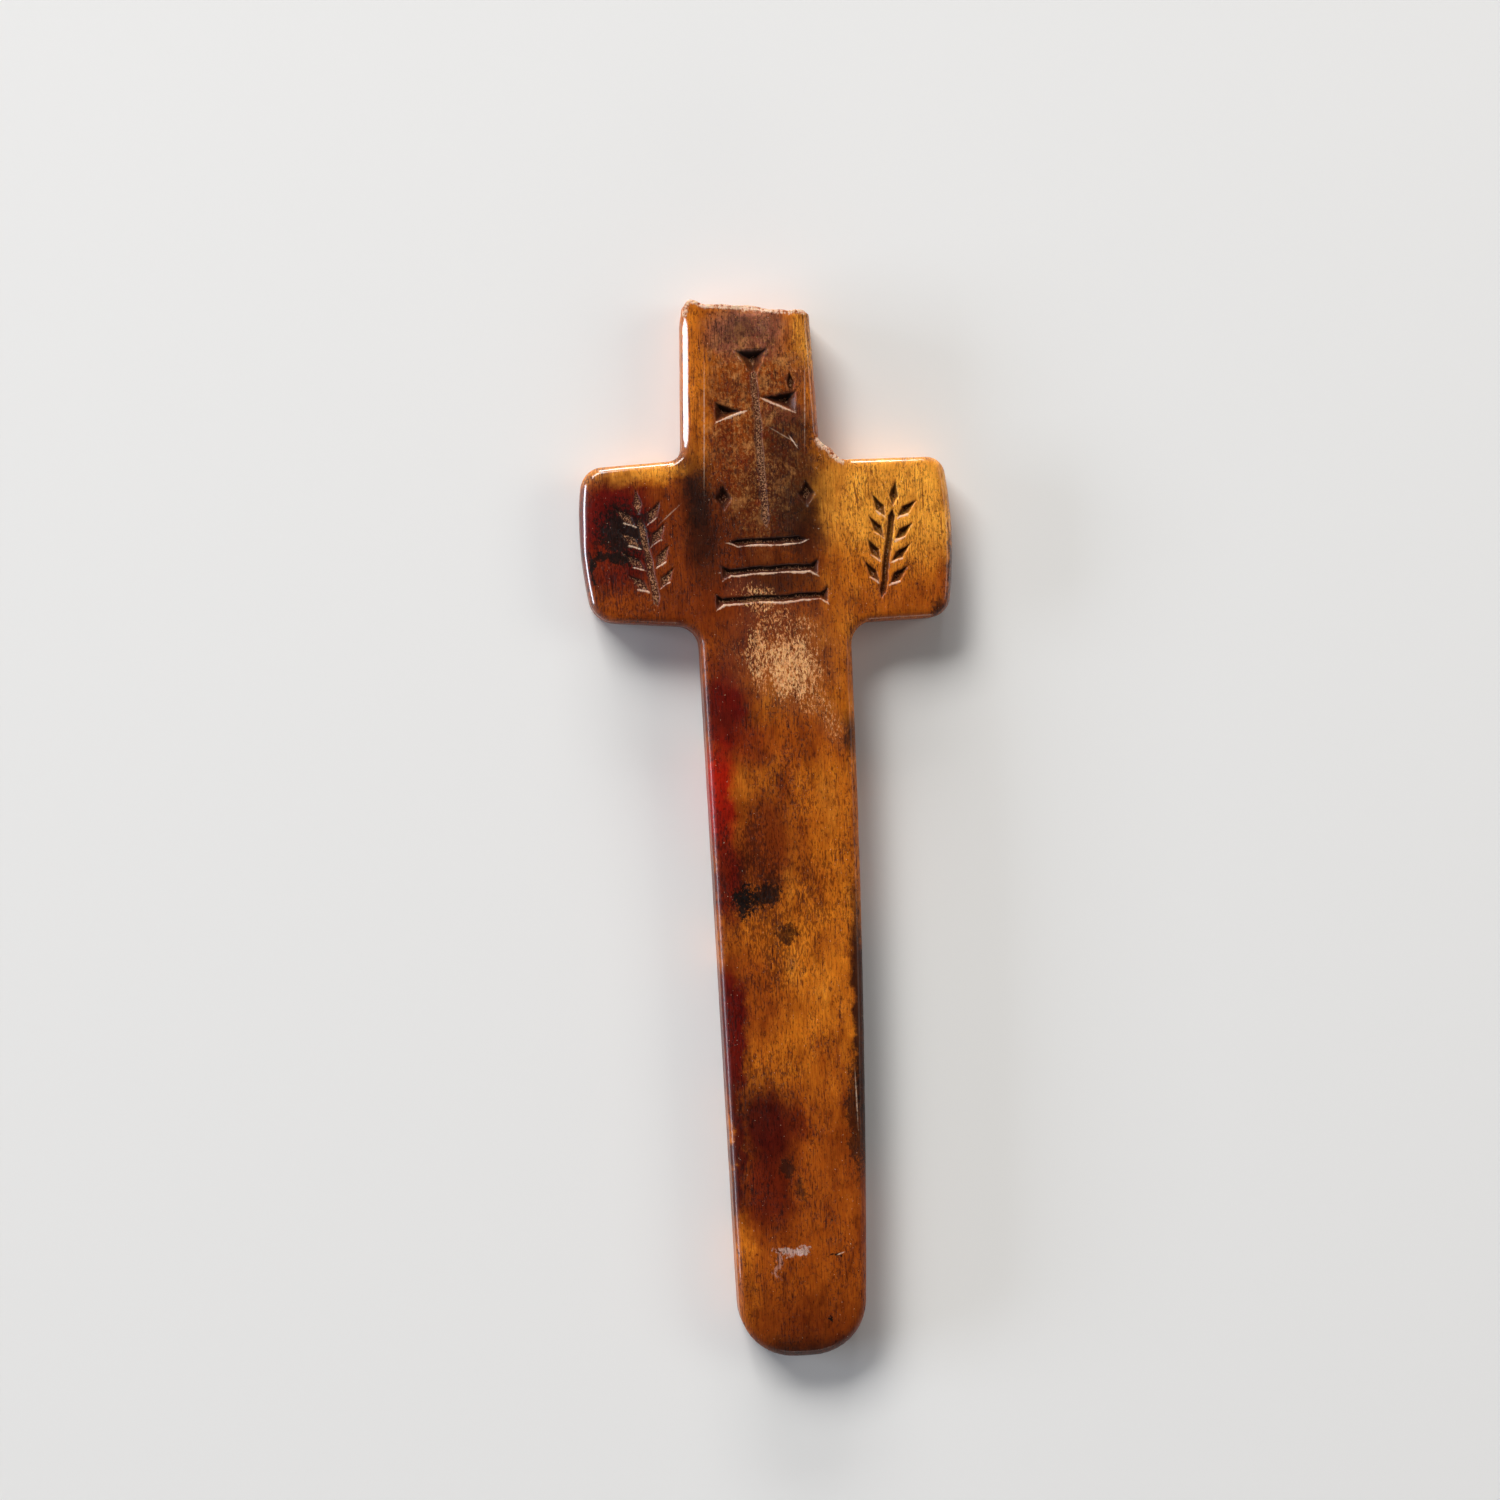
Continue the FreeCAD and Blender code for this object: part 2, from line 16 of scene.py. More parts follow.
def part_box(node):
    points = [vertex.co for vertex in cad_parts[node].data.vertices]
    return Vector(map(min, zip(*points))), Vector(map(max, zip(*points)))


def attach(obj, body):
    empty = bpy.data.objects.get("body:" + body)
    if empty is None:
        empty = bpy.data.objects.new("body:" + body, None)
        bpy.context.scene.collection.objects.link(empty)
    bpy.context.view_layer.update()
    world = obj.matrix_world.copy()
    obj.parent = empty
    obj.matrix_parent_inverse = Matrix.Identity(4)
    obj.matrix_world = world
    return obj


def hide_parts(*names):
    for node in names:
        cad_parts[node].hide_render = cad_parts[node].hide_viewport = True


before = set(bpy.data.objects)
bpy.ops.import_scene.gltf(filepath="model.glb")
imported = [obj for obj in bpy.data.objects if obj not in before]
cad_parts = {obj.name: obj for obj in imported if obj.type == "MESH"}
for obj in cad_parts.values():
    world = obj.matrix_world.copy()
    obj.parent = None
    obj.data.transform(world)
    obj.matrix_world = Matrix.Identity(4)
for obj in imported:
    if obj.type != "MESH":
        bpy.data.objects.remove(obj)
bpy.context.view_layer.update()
MM = 0.001
low, high = [[value / MM for value in corner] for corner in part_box("bone_cross")]
print("cross, in mm, from", np.round(low, 2), "to", np.round(high, 2))

# %% [markdown]
# ## The outline
# Someone who whittles such a cross first draws its outline on the plate. Here the outline
# could be traced from the solid's triangles, but then it would be a table of numbers. It
# is drawn again from a few sizes instead: straight runs, three shallow bows and nine
# rounded corners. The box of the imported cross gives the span, the length and the
# thickness, so that the drawing always fits the solid.

# %% Sizes of the outline, in mm
ARM_END = high[0]
TOP = high[1]
FOOT = low[1]
THICKNESS = high[2]
HEAD_HEIGHT = 9.42
LEFT_ARM_HEIGHT = 9.14
RIGHT_ARM_HEIGHT = 9.23
ARM_TOP = TOP - HEAD_HEIGHT
LEFT_ARM_LOW = ARM_TOP - LEFT_ARM_HEIGHT
RIGHT_ARM_LOW = ARM_TOP - RIGHT_ARM_HEIGHT
HEAD_MIDDLE = -0.75
HEAD_ROOT_WIDTH = 7.78
HEAD_TOP_WIDTH = 7.2
SHAFT_MIDDLE = 0.24
SHAFT_ROOT_WIDTH = 8.55
SHAFT_FOOT_WIDTH = 7.03
SHAFT_BOW = 0.27
SHAFT_BOW_SHARE = 0.47
BREAK_DROP = 0.82
SHOULDER_RUN = 1.55
SHOULDER_RISE = 1.28
LEFT_END_BOW = 0.45
RIGHT_END_BOW = 0.43
LEFT_END_LEAN = 0.18
HEAD_LEFT = HEAD_MIDDLE - HEAD_TOP_WIDTH / 2
NECK_LEFT = HEAD_MIDDLE - HEAD_ROOT_WIDTH / 2
NECK_RIGHT = HEAD_MIDDLE + HEAD_ROOT_WIDTH / 2
SHAFT_LEFT = SHAFT_MIDDLE - SHAFT_ROOT_WIDTH / 2
SHAFT_RIGHT = SHAFT_MIDDLE + SHAFT_ROOT_WIDTH / 2
FOOT_LEFT = SHAFT_MIDDLE - SHAFT_FOOT_WIDTH / 2
FOOT_RIGHT = SHAFT_MIDDLE + SHAFT_FOOT_WIDTH / 2
TOP_BREAK = [
    (0.0, 0.62), (0.03, 0.16), (0.07, 0.0), (0.16, 0.30), (0.38, 0.56), (0.45, 0.50),
    (0.60, 0.71), (0.73, 0.92), (0.955, 1.0), (1.0, 1.45),
]
SHOULDER = [(0.0, 1.0), (0.22, 0.72), (0.44, 0.52), (0.72, 0.09), (1.0, 0.0)]

# %% Draw the corners, going round to the left from the broken top
bow_depth = SHAFT_BOW_SHARE * (FOOT - RIGHT_ARM_LOW)
bow_reach = SHAFT_RIGHT + SHAFT_BOW_SHARE * (FOOT_RIGHT - SHAFT_RIGHT) + SHAFT_BOW
left_end = -ARM_END + LEFT_END_BOW
right_end = ARM_END - RIGHT_END_BOW
left_belly = (-ARM_END, ARM_TOP - 0.4 * LEFT_ARM_HEIGHT)
right_belly = (ARM_END, ARM_TOP - 0.5 * RIGHT_ARM_HEIGHT)
corners = [
    (HEAD_LEFT + along * HEAD_TOP_WIDTH, TOP - down * BREAK_DROP, 0)
    for along, down in reversed(TOP_BREAK)
]
corners += [
    (NECK_LEFT, ARM_TOP + 0.25, 0.9),
    (left_end - LEFT_END_LEAN, ARM_TOP, 1.25, left_belly),
    (left_end + LEFT_END_LEAN, LEFT_ARM_LOW + 0.49, 1.6),
    (SHAFT_LEFT, LEFT_ARM_LOW, 1.25),
    (FOOT_LEFT, FOOT, 3.1),
    (FOOT_RIGHT, FOOT, 3.1, (bow_reach, RIGHT_ARM_LOW + bow_depth)),
    (SHAFT_RIGHT, RIGHT_ARM_LOW, 1.3),
    (right_end, RIGHT_ARM_LOW + 0.15, 1.25, right_belly),
    (right_end, ARM_TOP, 1.05),
]
corners += [
    (NECK_RIGHT + run * SHOULDER_RUN, ARM_TOP + rise * SHOULDER_RISE, 0)
    for run, rise in reversed(SHOULDER)
]


def bowed(start, belly, end, steps=16):
    """Points from start to end along the arc through the belly, turning to the left."""
    (ax, ay), (bx, by), (cx, cy) = start, belly, end
    double_area = 2 * (ax * (by - cy) + bx * (cy - ay) + cx * (ay - by))
    a, b, c = (x * x + y * y for x, y in (start, belly, end))
    mid_x = (a * (by - cy) + b * (cy - ay) + c * (ay - by)) / double_area
    mid_y = (a * (cx - bx) + b * (ax - cx) + c * (bx - ax)) / double_area
    radius = math.hypot(ax - mid_x, ay - mid_y)
    first = math.atan2(ay - mid_y, ax - mid_x)
    sweep = (math.atan2(cy - mid_y, cx - mid_x) - first) % math.tau
    angles = [first + sweep * step / steps for step in range(steps + 1)]
    return [(mid_x + radius * math.cos(a), mid_y + radius * math.sin(a)) for a in angles]


def shortened(run, cut):
    """A run of points with a length cut off its start."""
    run = [np.array(point) for point in run]
    while cut > 0:
        step = np.linalg.norm(run[1] - run[0])
        if step > cut:
            run[0] = run[0] + (run[1] - run[0]) * (cut / step)
            return run
        cut -= step
        run.pop(0)
    return run


def rounded_loop(corners, steps=10):
    """The closed outline as points, with every corner rounded to its radius."""
    runs = []
    for number, corner in enumerate(corners):
        after = corners[(number + 1) % len(corners)]
        if len(corner) == 4:
            runs.append(bowed(corner[:2], corner[3], after[:2]))
        else:
            runs.append([corner[:2], after[:2]])
    rounds = []
    for number, corner in enumerate(corners):
        tip = np.array(corner[:2])
        arriving = tip - runs[number - 1][-2]
        leaving = runs[number][1] - tip
        cosine = arriving @ leaving / np.linalg.norm(arriving) / np.linalg.norm(leaving)
        half_turn = math.acos(max(-1.0, min(1.0, cosine))) / 2
        rounds.append((tip, math.cos(half_turn), corner[2] * math.tan(half_turn)))
    loop = []
    for number, (tip, weight, cut) in enumerate(rounds):
        next_cut = rounds[(number + 1) % len(rounds)][2]
        before = shortened(runs[number - 1][::-1], cut)[0]
        run = shortened(shortened(runs[number], cut)[::-1], next_cut)[::-1]
        for step in range(1, steps if cut > 0 else 1):
            t = step / steps
            shares = np.array([(1 - t) ** 2, 2 * t * (1 - t) * weight, t * t])
            loop.append(shares @ np.array([before, tip, run[0]]) / shares.sum())
        loop.extend(run if next_cut > 0 else run[:-1])
    return np.array(loop)


def evened(loop, spacing):
    """The same closed outline, with its points a fixed distance apart."""
    closed = np.vstack([loop, loop[:1]])
    length = np.concatenate([[0], np.cumsum(np.linalg.norm(np.diff(closed, axis=0), axis=1))])
    stops = np.linspace(0, length[-1], int(length[-1] / spacing), endpoint=False)
    return np.column_stack([np.interp(stops, length, closed[:, axis]) for axis in (0, 1)])


EDGE_SPACING = 0.2
outline = evened(rounded_loop(corners), EDGE_SPACING)
print("outline:", len(outline), "points")
print("reaching from", np.round(outline.min(0), 2), "to", np.round(outline.max(0), 2))

# %% [markdown]
# ## Which way is inwards, and how worn each edge is
# Every point of the outline gets a direction that leads into the bone. The rims are then
# rows of points that step inwards as they rise. Handling has worn most of the rim to a
# round. The broken top and the splintered shoulder are sharp and rough, and the head's
# left edge was pared off with the knife, so it is a flat facet. A few soft masks along
# the outline say where each kind of edge begins and ends. The head and the arms are
# held most, so their rims shine more than the shaft's.

# %% Directions and edge masks along the outline
along = np.roll(outline, -2, axis=0) - np.roll(outline, 2, axis=0)
along /= np.linalg.norm(along, axis=1)[:, None]
inward = np.column_stack([-along[:, 1], along[:, 0]])
edge_x, edge_y = outline.T
break_low = TOP - 1.45 * BREAK_DROP
splintered = (
    (edge_x > NECK_RIGHT - 0.1) & (edge_x < NECK_RIGHT + SHOULDER_RUN)
    & (edge_y > ARM_TOP + 0.02)
    & (edge_y < ARM_TOP + SHOULDER_RISE + 0.1)
)
pared = (edge_x < NECK_LEFT + 0.6) & (edge_y > ARM_TOP + 1.2) & (edge_y < TOP - 1.3)


def spread(mask, reach):
    """A mask along the outline with its ends softened over a reach in mm."""
    width = max(1, int(reach / EDGE_SPACING))
    shares = np.hanning(2 * width + 3)
    padded = np.concatenate([mask[-width - 1:], mask, mask[:width + 1]]).astype(float)
    return np.convolve(padded, shares / shares.sum(), mode="valid")


broken_edge = spread(edge_y > break_low, 0.3)
rough_edge = np.maximum(broken_edge, spread(splintered, 0.3))
pared_edge = spread(pared, 0.8)
worn_end = spread((edge_x < -ARM_END + 1.2) & (edge_y > ARM_TOP - 4.0), 1.5)
RIM = 0.34
BACK_RIM = 0.35
rim_width = (RIM + 0.06 * pared_edge + 0.12 * worn_end) * (1 - 0.82 * rough_edge)
rim_fall = 0.8 * rim_width
rim_flat = 0.6 + 0.4 * pared_edge
polish = 0.1 + 0.9 * spread(edge_y > LEFT_ARM_LOW + 0.5, 2.0)
back_round = BACK_RIM * (1 - 0.8 * rough_edge)
print("rough edge:", round(rough_edge.sum() * EDGE_SPACING, 1), "mm")

# %% [markdown]
# ## The knife's cuts
# Every cut is a chip: a mouth on the front, a small floor below it, and flat walls that
# join the two. A mesh can be cut with booleans, but they leave needle-thin faces where
# over thirty cuts end. As the front is seen from one side only, its height is worked out
# instead: each wall is a plane, and the lowest of a chip's planes is how deep it goes.
# The same places and sizes as in the solid are used, so nothing moves.

# %% Chips and where they lie
FLOOR = 0.08
SHALLOW = 0.34
LEAN = math.radians(2.6)
STAIR_LEAN = math.radians(1.5)
chips = []


def moved(at, turn, ahead, right=0.0):
    """The place ahead and to the right of another, facing the head turned to the left."""
    return (
        at[0] - ahead * math.sin(turn) + right * math.cos(turn),
        at[1] + ahead * math.cos(turn) + right * math.sin(turn),
    )


def chip(mouth, floor, depth, at, turn, filled):
    """Notes one cut: its mouth's corners, each side's slope, and how far dirt fills it."""
    mouth = np.array([moved(at, turn, ahead, right) for right, ahead in mouth])
    floor = np.array([moved(at, turn, ahead, right) for right, ahead in floor])
    walls = []
    for number, start in enumerate(mouth):
        side = np.roll(mouth, -1, axis=0)[number] - start
        normal = np.array([-side[1], side[0]]) / np.linalg.norm(side)
        foot = (floor[number] + np.roll(floor, -1, axis=0)[number]) / 2
        walls.append((start, normal, depth / ((foot - start) @ normal)))
    chips.append({"walls": walls, "depth": depth, "dirt": depth * (1 - filled)})


def wedge(length, width, depth, at, turn, filled=0.2):
    """A triangular chip with its tip at the place, its wide end ahead."""
    heel = 0.7 * length
    chip(
        [(0, 0), (width / 2, length), (-width / 2, length)],
        [(0, heel - FLOOR * length), (FLOOR * width / 2, heel), (-FLOOR * width / 2, heel)],
        depth, at, turn, filled,
    )


def stroke(length, at, turn, filled=0.3, half=0.21, point=0.5, depth=SHALLOW):
    """A long narrow cut that starts at the place and runs ahead."""
    lane = FLOOR * half
    chip(
        [(0, 0), (half, point), (half, length - point),
         (0, length), (-half, length - point), (-half, point)],
        [(0, point * 0.8), (lane, point), (lane, length - point),
         (0, length - point * 0.8), (-lane, length - point), (-lane, point)],
        depth, at, turn, filled,
    )


def lozenge(length, width, belly, depth, at, turn, filled=0.3):
    """A pointed chip with its foot at the place, widest at a share of its length."""
    widest = belly * length
    lane = FLOOR * width / 2
    chip(
        [(0, 0), (width / 2, widest), (0, length), (-width / 2, widest)],
        [(0, widest * 0.6), (lane, widest),
         (0, length - (length - widest) * 0.6), (-lane, widest)],
        depth, at, turn, filled,
    )


# %% The small cross, with a slip of the knife over its right arm
WEDGE_DEPTH = 0.62
SMALL_CROSS_HEIGHT = 10.15
HEAD_WEDGE = 1.7
stair = (0.0, ARM_TOP - 4.46)
small_foot = (-0.05, stair[1] + 0.42 + 0.28)
stroke(SMALL_CROSS_HEIGHT - HEAD_WEDGE / 2, small_foot, LEAN, 0.8)
wedge(HEAD_WEDGE, 2.05, WEDGE_DEPTH, moved(small_foot, LEAN, SMALL_CROSS_HEIGHT - HEAD_WEDGE), LEAN)
wedge(1.65, 1.2, WEDGE_DEPTH, moved(small_foot, LEAN, 6.7, -0.73), math.radians(90))
right_turn = math.radians(-98)
right_heel = moved(small_foot, LEAN, 7.0, 2.32)
wedge(2.14, 1.25, WEDGE_DEPTH, moved(right_heel, right_turn, -2.14), right_turn)
lozenge(1.75, 0.5, 0.6, SHALLOW, moved(right_heel, right_turn, -0.25), LEAN)

# %% Three steps, the lozenges, and a frond on each arm
STEP_GAP = 1.62
STEP_LENGTH = 4.45
STEP_END = 0.85
FROND_STEM = 5.3
LEAF_GAP = 1.25
LEAF_TURN = math.radians(40)
LEAF = (1.6, 0.58, 0.4, SHALLOW)
for step in range(3):
    middle = moved(stair, STAIR_LEAN, -STEP_GAP * step)
    length = STEP_LENGTH + step
    right_way = STAIR_LEAN - math.radians(90)
    left_way = STAIR_LEAN + math.radians(90)
    stroke(length, moved(middle, right_way, -length / 2), right_way)
    for way in (left_way, right_way) if step else ():
        wedge(STEP_END, 0.95, SHALLOW, moved(middle, way, length / 2 - STEP_END), way)
for side in (-1, 1):
    foot = moved(moved(stair, STAIR_LEAN, 2.55, 2.35 * side), STAIR_LEAN, -0.8)
    lozenge(1.6, 1.0, 0.5, 0.45, foot, STAIR_LEAN)
    lean = math.radians(-9 * side)
    arm_middle = ARM_TOP - (LEFT_ARM_HEIGHT if side < 0 else RIGHT_ARM_HEIGHT) / 2
    frond_foot = moved((side * (ARM_END + 6.45 / 2) / 2, arm_middle), lean, -3.45)
    packed = 0.75 if side < 0 else 0.1
    stroke(FROND_STEM, frond_foot, lean, packed)
    for pair in range(4):
        for hand in (-1, 1):
            at = moved(frond_foot, lean, 0.95 + LEAF_GAP * pair, 0.3 * hand)
            lozenge(*LEAF, at, lean - LEAF_TURN * hand, packed)
    lozenge(*LEAF, moved(frond_foot, lean, FROND_STEM), lean, packed)
print("chips:", len(chips))


# %% [markdown]
# ## The height of the front
# The front is the crown of the bone, the fall at the foot, and the cuts. On top of that
# come what only a worn real thing has: gentle waves left by the scraper, a rough patch
# where the surface has flaked below the steps, a scar along the broken top, and dirt that
# fills the bottoms of the cuts. All of it only goes down from the crown, so the mesh
# never leaves the box of the solid.

# %% Height of the front at any points
CROWN_RADIUS = 110.0
FOOT_SLOPE = 5.2
FOOT_DROP = 0.75
SOFT_WALL = 0.02


def grain(points, size, seed=0.0, stretch=1.0):
    """Smooth noise from -1 to 1 at the points, with waves of about a size in mm."""
    return np.array([
        noise.noise(Vector((x / size, y / size / stretch, seed))) for x, y in points
    ])


def oval(points, middle, reach, lean=0.0, soft=0.4):
    """1 inside a leaning oval, 0 outside it, with a soft edge."""
    offset = points - np.array(middle)
    cosine, sine = math.cos(lean), math.sin(lean)
    across = (offset[:, 0] * cosine + offset[:, 1] * sine) / reach[0]
    ahead = (offset[:, 1] * cosine - offset[:, 0] * sine) / reach[1]
    share = np.clip((1 + soft - np.hypot(across, ahead)) / (2 * soft), 0, 1)
    return share * share * (3 - 2 * share)


def wobbled(points):
    """The points pushed about a little, so that straight cuts look cut by hand."""
    sway = np.column_stack([grain(points, 1.3, 41.0), grain(points, 1.3, 47.0)]) * 0.09
    nick = np.column_stack([grain(points, 0.3, 43.0), grain(points, 0.3, 49.0)]) * 0.028
    return points + sway + nick


def cuts_at(points):
    """The cuts at each point: depth, share, dirt's level, way inside the mouth, facing."""
    points = wobbled(points)
    depth, share, level, facing = (np.zeros(len(points)) for _ in range(4))
    mouth = np.full(len(points), -99.0)
    for cut in chips:
        inside, plane = (np.full(len(points), 99.0) for _ in range(2))
        side = np.zeros(len(points))
        for start, normal, slope in cut["walls"]:
            across = (points - start) @ normal
            side = np.where(across < inside, normal[1], side)
            inside = np.minimum(inside, across)
            plane = np.minimum(plane, across * slope)
        facing = np.where(inside > mouth, side, facing)
        mouth = np.maximum(mouth, inside)
        softened = np.where(plane > -0.3, (plane + np.hypot(plane, SOFT_WALL)) / 2, 0)
        own = np.minimum(softened, cut["depth"])
        share = np.where(own > depth, own / cut["depth"], share)
        level = np.where(own > depth, cut["dirt"], level)
        depth = np.maximum(depth, own)
    return depth, share, level, mouth, facing


def scuff_share(points):
    """Where the surface has flaked off below the steps."""
    warp = np.column_stack([grain(points, 1.1, 3.0), grain(points, 1.1, 7.0)]) * 0.55
    moved_points = points + warp
    patch = np.zeros(len(points))
    for middle, reach, lean, strength in (
        ((1.0, 9.0), (1.7, 2.3), 0.2, 0.95),
        ((-0.95, 9.7), (0.8, 2.3), 0.06, 0.85),
        ((0.6, 11.4), (2.6, 0.9), -0.03, 0.68),
        ((0.6, 9.9), (3.2, 2.9), 0.05, 0.58),
        ((-0.7, 12.9), (1.2, 1.0), 0.2, 0.82),
        ((-1.9, 13.2), (0.8, 0.9), 0.0, 0.45),
        ((3.0, 6.2), (0.8, 2.0), 0.42, 0.62),
        ((2.0, 7.4), (1.0, 1.6), 0.42, 0.62),
        ((3.2, 9.0), (0.4, 1.1), 0.3, 0.5),
        ((2.2, 25.9), (0.9, 1.2), 0.0, 0.55),
        ((-1.9, 26.3), (0.5, 0.4), 0.0, 0.4),
        ((-0.1, 28.6), (1.9, 0.6), -0.05, 0.35),
        ((0.45, -7.9), (0.3, 0.4), 0.0, 0.45),
    ):
        patch = np.maximum(patch, strength * oval(moved_points, middle, reach, lean, 0.5))
    return patch


def front(points):
    """Height of the front, and the masks that its finish needs."""
    x, y = points.T
    height = THICKNESS - CROWN_RADIUS + np.sqrt(CROWN_RADIUS ** 2 - x ** 2)
    falling = np.clip((FOOT + FOOT_SLOPE - y) / FOOT_SLOPE, 0, 1.1)
    height -= FOOT_DROP * falling ** 1.6
    height -= 0.02 * (1 + grain(points, 3.0, 11.0, 2.5))
    depth, share, level, mouth, facing = cuts_at(points)
    lumps = grain(points, 0.16, 5.0)
    scuff = scuff_share(points)
    pits = 0.035 * grain(points, 0.5, 9.0, 1.6) + 0.03 * grain(points, 0.19, 2.0, 1.4)
    height -= np.maximum(scuff * (0.05 + pits), 0)
    scar = oval(points, (-0.2, TOP - 0.55), (1.1, 0.42), 0.05, 0.5)
    height -= scar * (0.25 + 0.12 * grain(points, 0.3, 4.0))
    full = level * (1 + 0.25 * lumps) + 0.02
    dirt = np.clip((depth - full) / 0.03 + 0.5, 0, 1) * (mouth > 0)
    height -= np.where(mouth > 0, np.minimum(depth, full), depth)
    # lip_highlight marks the edge of the cut walls that face the light beyond the head, for a
    # painted highlight; shade marks the walls that face away from it, for painted shade.
    lip_highlight = np.exp(-((mouth + 0.03) / 0.07) ** 2) * np.clip(1.5 * facing - 0.4, 0, 1)
    shade = np.clip(-facing, 0, 1) * (mouth > 0.0)
    return height, {
        "cut": share, "dirt": dirt, "scuff": scuff, "scar": scar, "lip_highlight": lip_highlight, "shade": shade,
    }


heights = front(np.array([[0.0, 0.0], [0.0, 16.1], [9.0, 18.0]]))[0]
print("front at three places:", np.round(heights, 2))

# %% [markdown]
# ## From rows and points to one closed mesh
# The mesh has three parts that share their edges. A band of rows goes round the outline,
# from the flat back over the worn back rim, up the side and over the front rim. The front
# and the back are then filled with triangles between points: close together in the cuts,
# wider apart where the bone is smooth. A Delaunay triangulation joins them without long
# thin faces, which is what makes the shading clean.

# %% Rows of points round the edge
BACK_STEPS = 4
SIDE_STEPS = 12
FRONT_STEPS = 6


def fracture(points, level):
    """How far a rough edge lies back from the outline at a level, in mm."""
    x, y = points.T
    return np.array([
        0.10 + 0.10 * noise.noise(Vector((a / 0.9, b / 0.9, c / 0.7)))
        + 0.05 * noise.noise(Vector((a / 0.28, b / 0.28, c / 0.25)))
        for a, b, c in zip(x, y, level)
    ])


def edge_row(inset, level):
    """One row of points round the cross, stepped inwards and lifted to a level."""
    back = rough_edge * fracture(outline, level) + 0.012 * (1 + grain(outline, 1.4, 21.0))
    place = outline + inward * (inset + back)[:, None]
    return np.column_stack([place, level])


top_place = edge_row(rim_width, np.full(len(outline), THICKNESS))[:, :2]
top_height = front(top_place)[0]
side_top = top_height - rim_fall
rows = []
for step in range(BACK_STEPS + 1):
    angle = math.radians(90) * step / BACK_STEPS
    rows.append(edge_row(back_round * (1 - math.sin(angle)), back_round * (1 - math.cos(angle))))
for step in range(1, SIDE_STEPS):
    share = step / SIDE_STEPS
    rows.append(edge_row(np.zeros(len(outline)), back_round * (1 - share) + side_top * share))
for step in range(FRONT_STEPS + 1):
    share = step / FRONT_STEPS
    angle = math.radians(90) * share
    inset = rim_width * (rim_flat * share + (1 - rim_flat) * (1 - math.cos(angle)))
    fall = rim_fall * (rim_flat * (1 - share) + (1 - rim_flat) * (1 - math.sin(angle)))
    row = edge_row(inset, top_height - fall)
    row[:, 2] = front(row[:, :2])[0] - fall
    rows.append(row)
print("rows round the edge:", len(rows))

# %% Points inside the edge, close together where the form is fine
tree = kdtree.KDTree(len(outline))
for number, point in enumerate(outline):
    tree.insert((*point, 0), number)
tree.balance()


def honeycomb(spacing):
    """Points in a honeycomb over the whole cross, a little off their places."""
    lines = int((TOP - FOOT) / (spacing * 0.866)) + 1
    stops = int(2 * ARM_END / spacing) + 1
    row, stop = np.meshgrid(np.arange(lines), np.arange(stops), indexing="ij")
    place = np.column_stack([
        (-ARM_END + (stop + 0.5 * (row % 2)) * spacing).ravel(),
        (FOOT + row * spacing * 0.866).ravel(),
    ])
    return place + dice.uniform(-0.12, 0.12, place.shape) * spacing


def within(points, margin):
    """Which points lie inside the outline by more than a margin."""
    kept = np.zeros(len(points), bool)
    for number, (x, y) in enumerate(points):
        _, index, distance = tree.find((x, y, 0))
        side = (np.array((x, y)) - outline[index]) @ inward[index]
        kept[number] = side > 0 and distance > margin[index]
    return kept


dice = np.random.default_rng(7)
COARSE, MIDDLE, FINE = 0.3, 0.14, 0.062
front_margin = rim_width + rough_edge * 0.3 + 0.08


def front_points():
    """The points of the front, in three densities."""
    kept = []
    for spacing, nearest, furthest in (
        (FINE, -0.1, 99), (MIDDLE, -0.5, -0.1 - FINE / 2), (COARSE, -99, -0.5 - MIDDLE / 2),
    ):
        points = honeycomb(spacing)
        points = points[within(points, front_margin + spacing * 0.3)]
        gap = cuts_at(points)[3]
        rough = (scuff_share(points) > 0.2) | (points[:, 1] > TOP - 1.6)
        gap = np.where(rough & (gap < -0.3), -0.3, gap)
        kept.append(points[(gap >= nearest) & (gap < furthest)])
    print("points on the front:", [len(points) for points in kept])
    return np.vstack(kept)


def filled(ring, points):
    """Triangles that fill a ring of points and hold all the points inside it."""
    places = [Vector(place) for place in np.vstack([ring, points])]
    ring_edges = [(number, (number + 1) % len(ring)) for number in range(len(ring))]
    found = geometry.delaunay_2d_cdt(places, ring_edges, [], 1, 1e-7)
    names = [original[0] for original in found[3]]
    return [[names[corner] for corner in face] for face in found[2]]


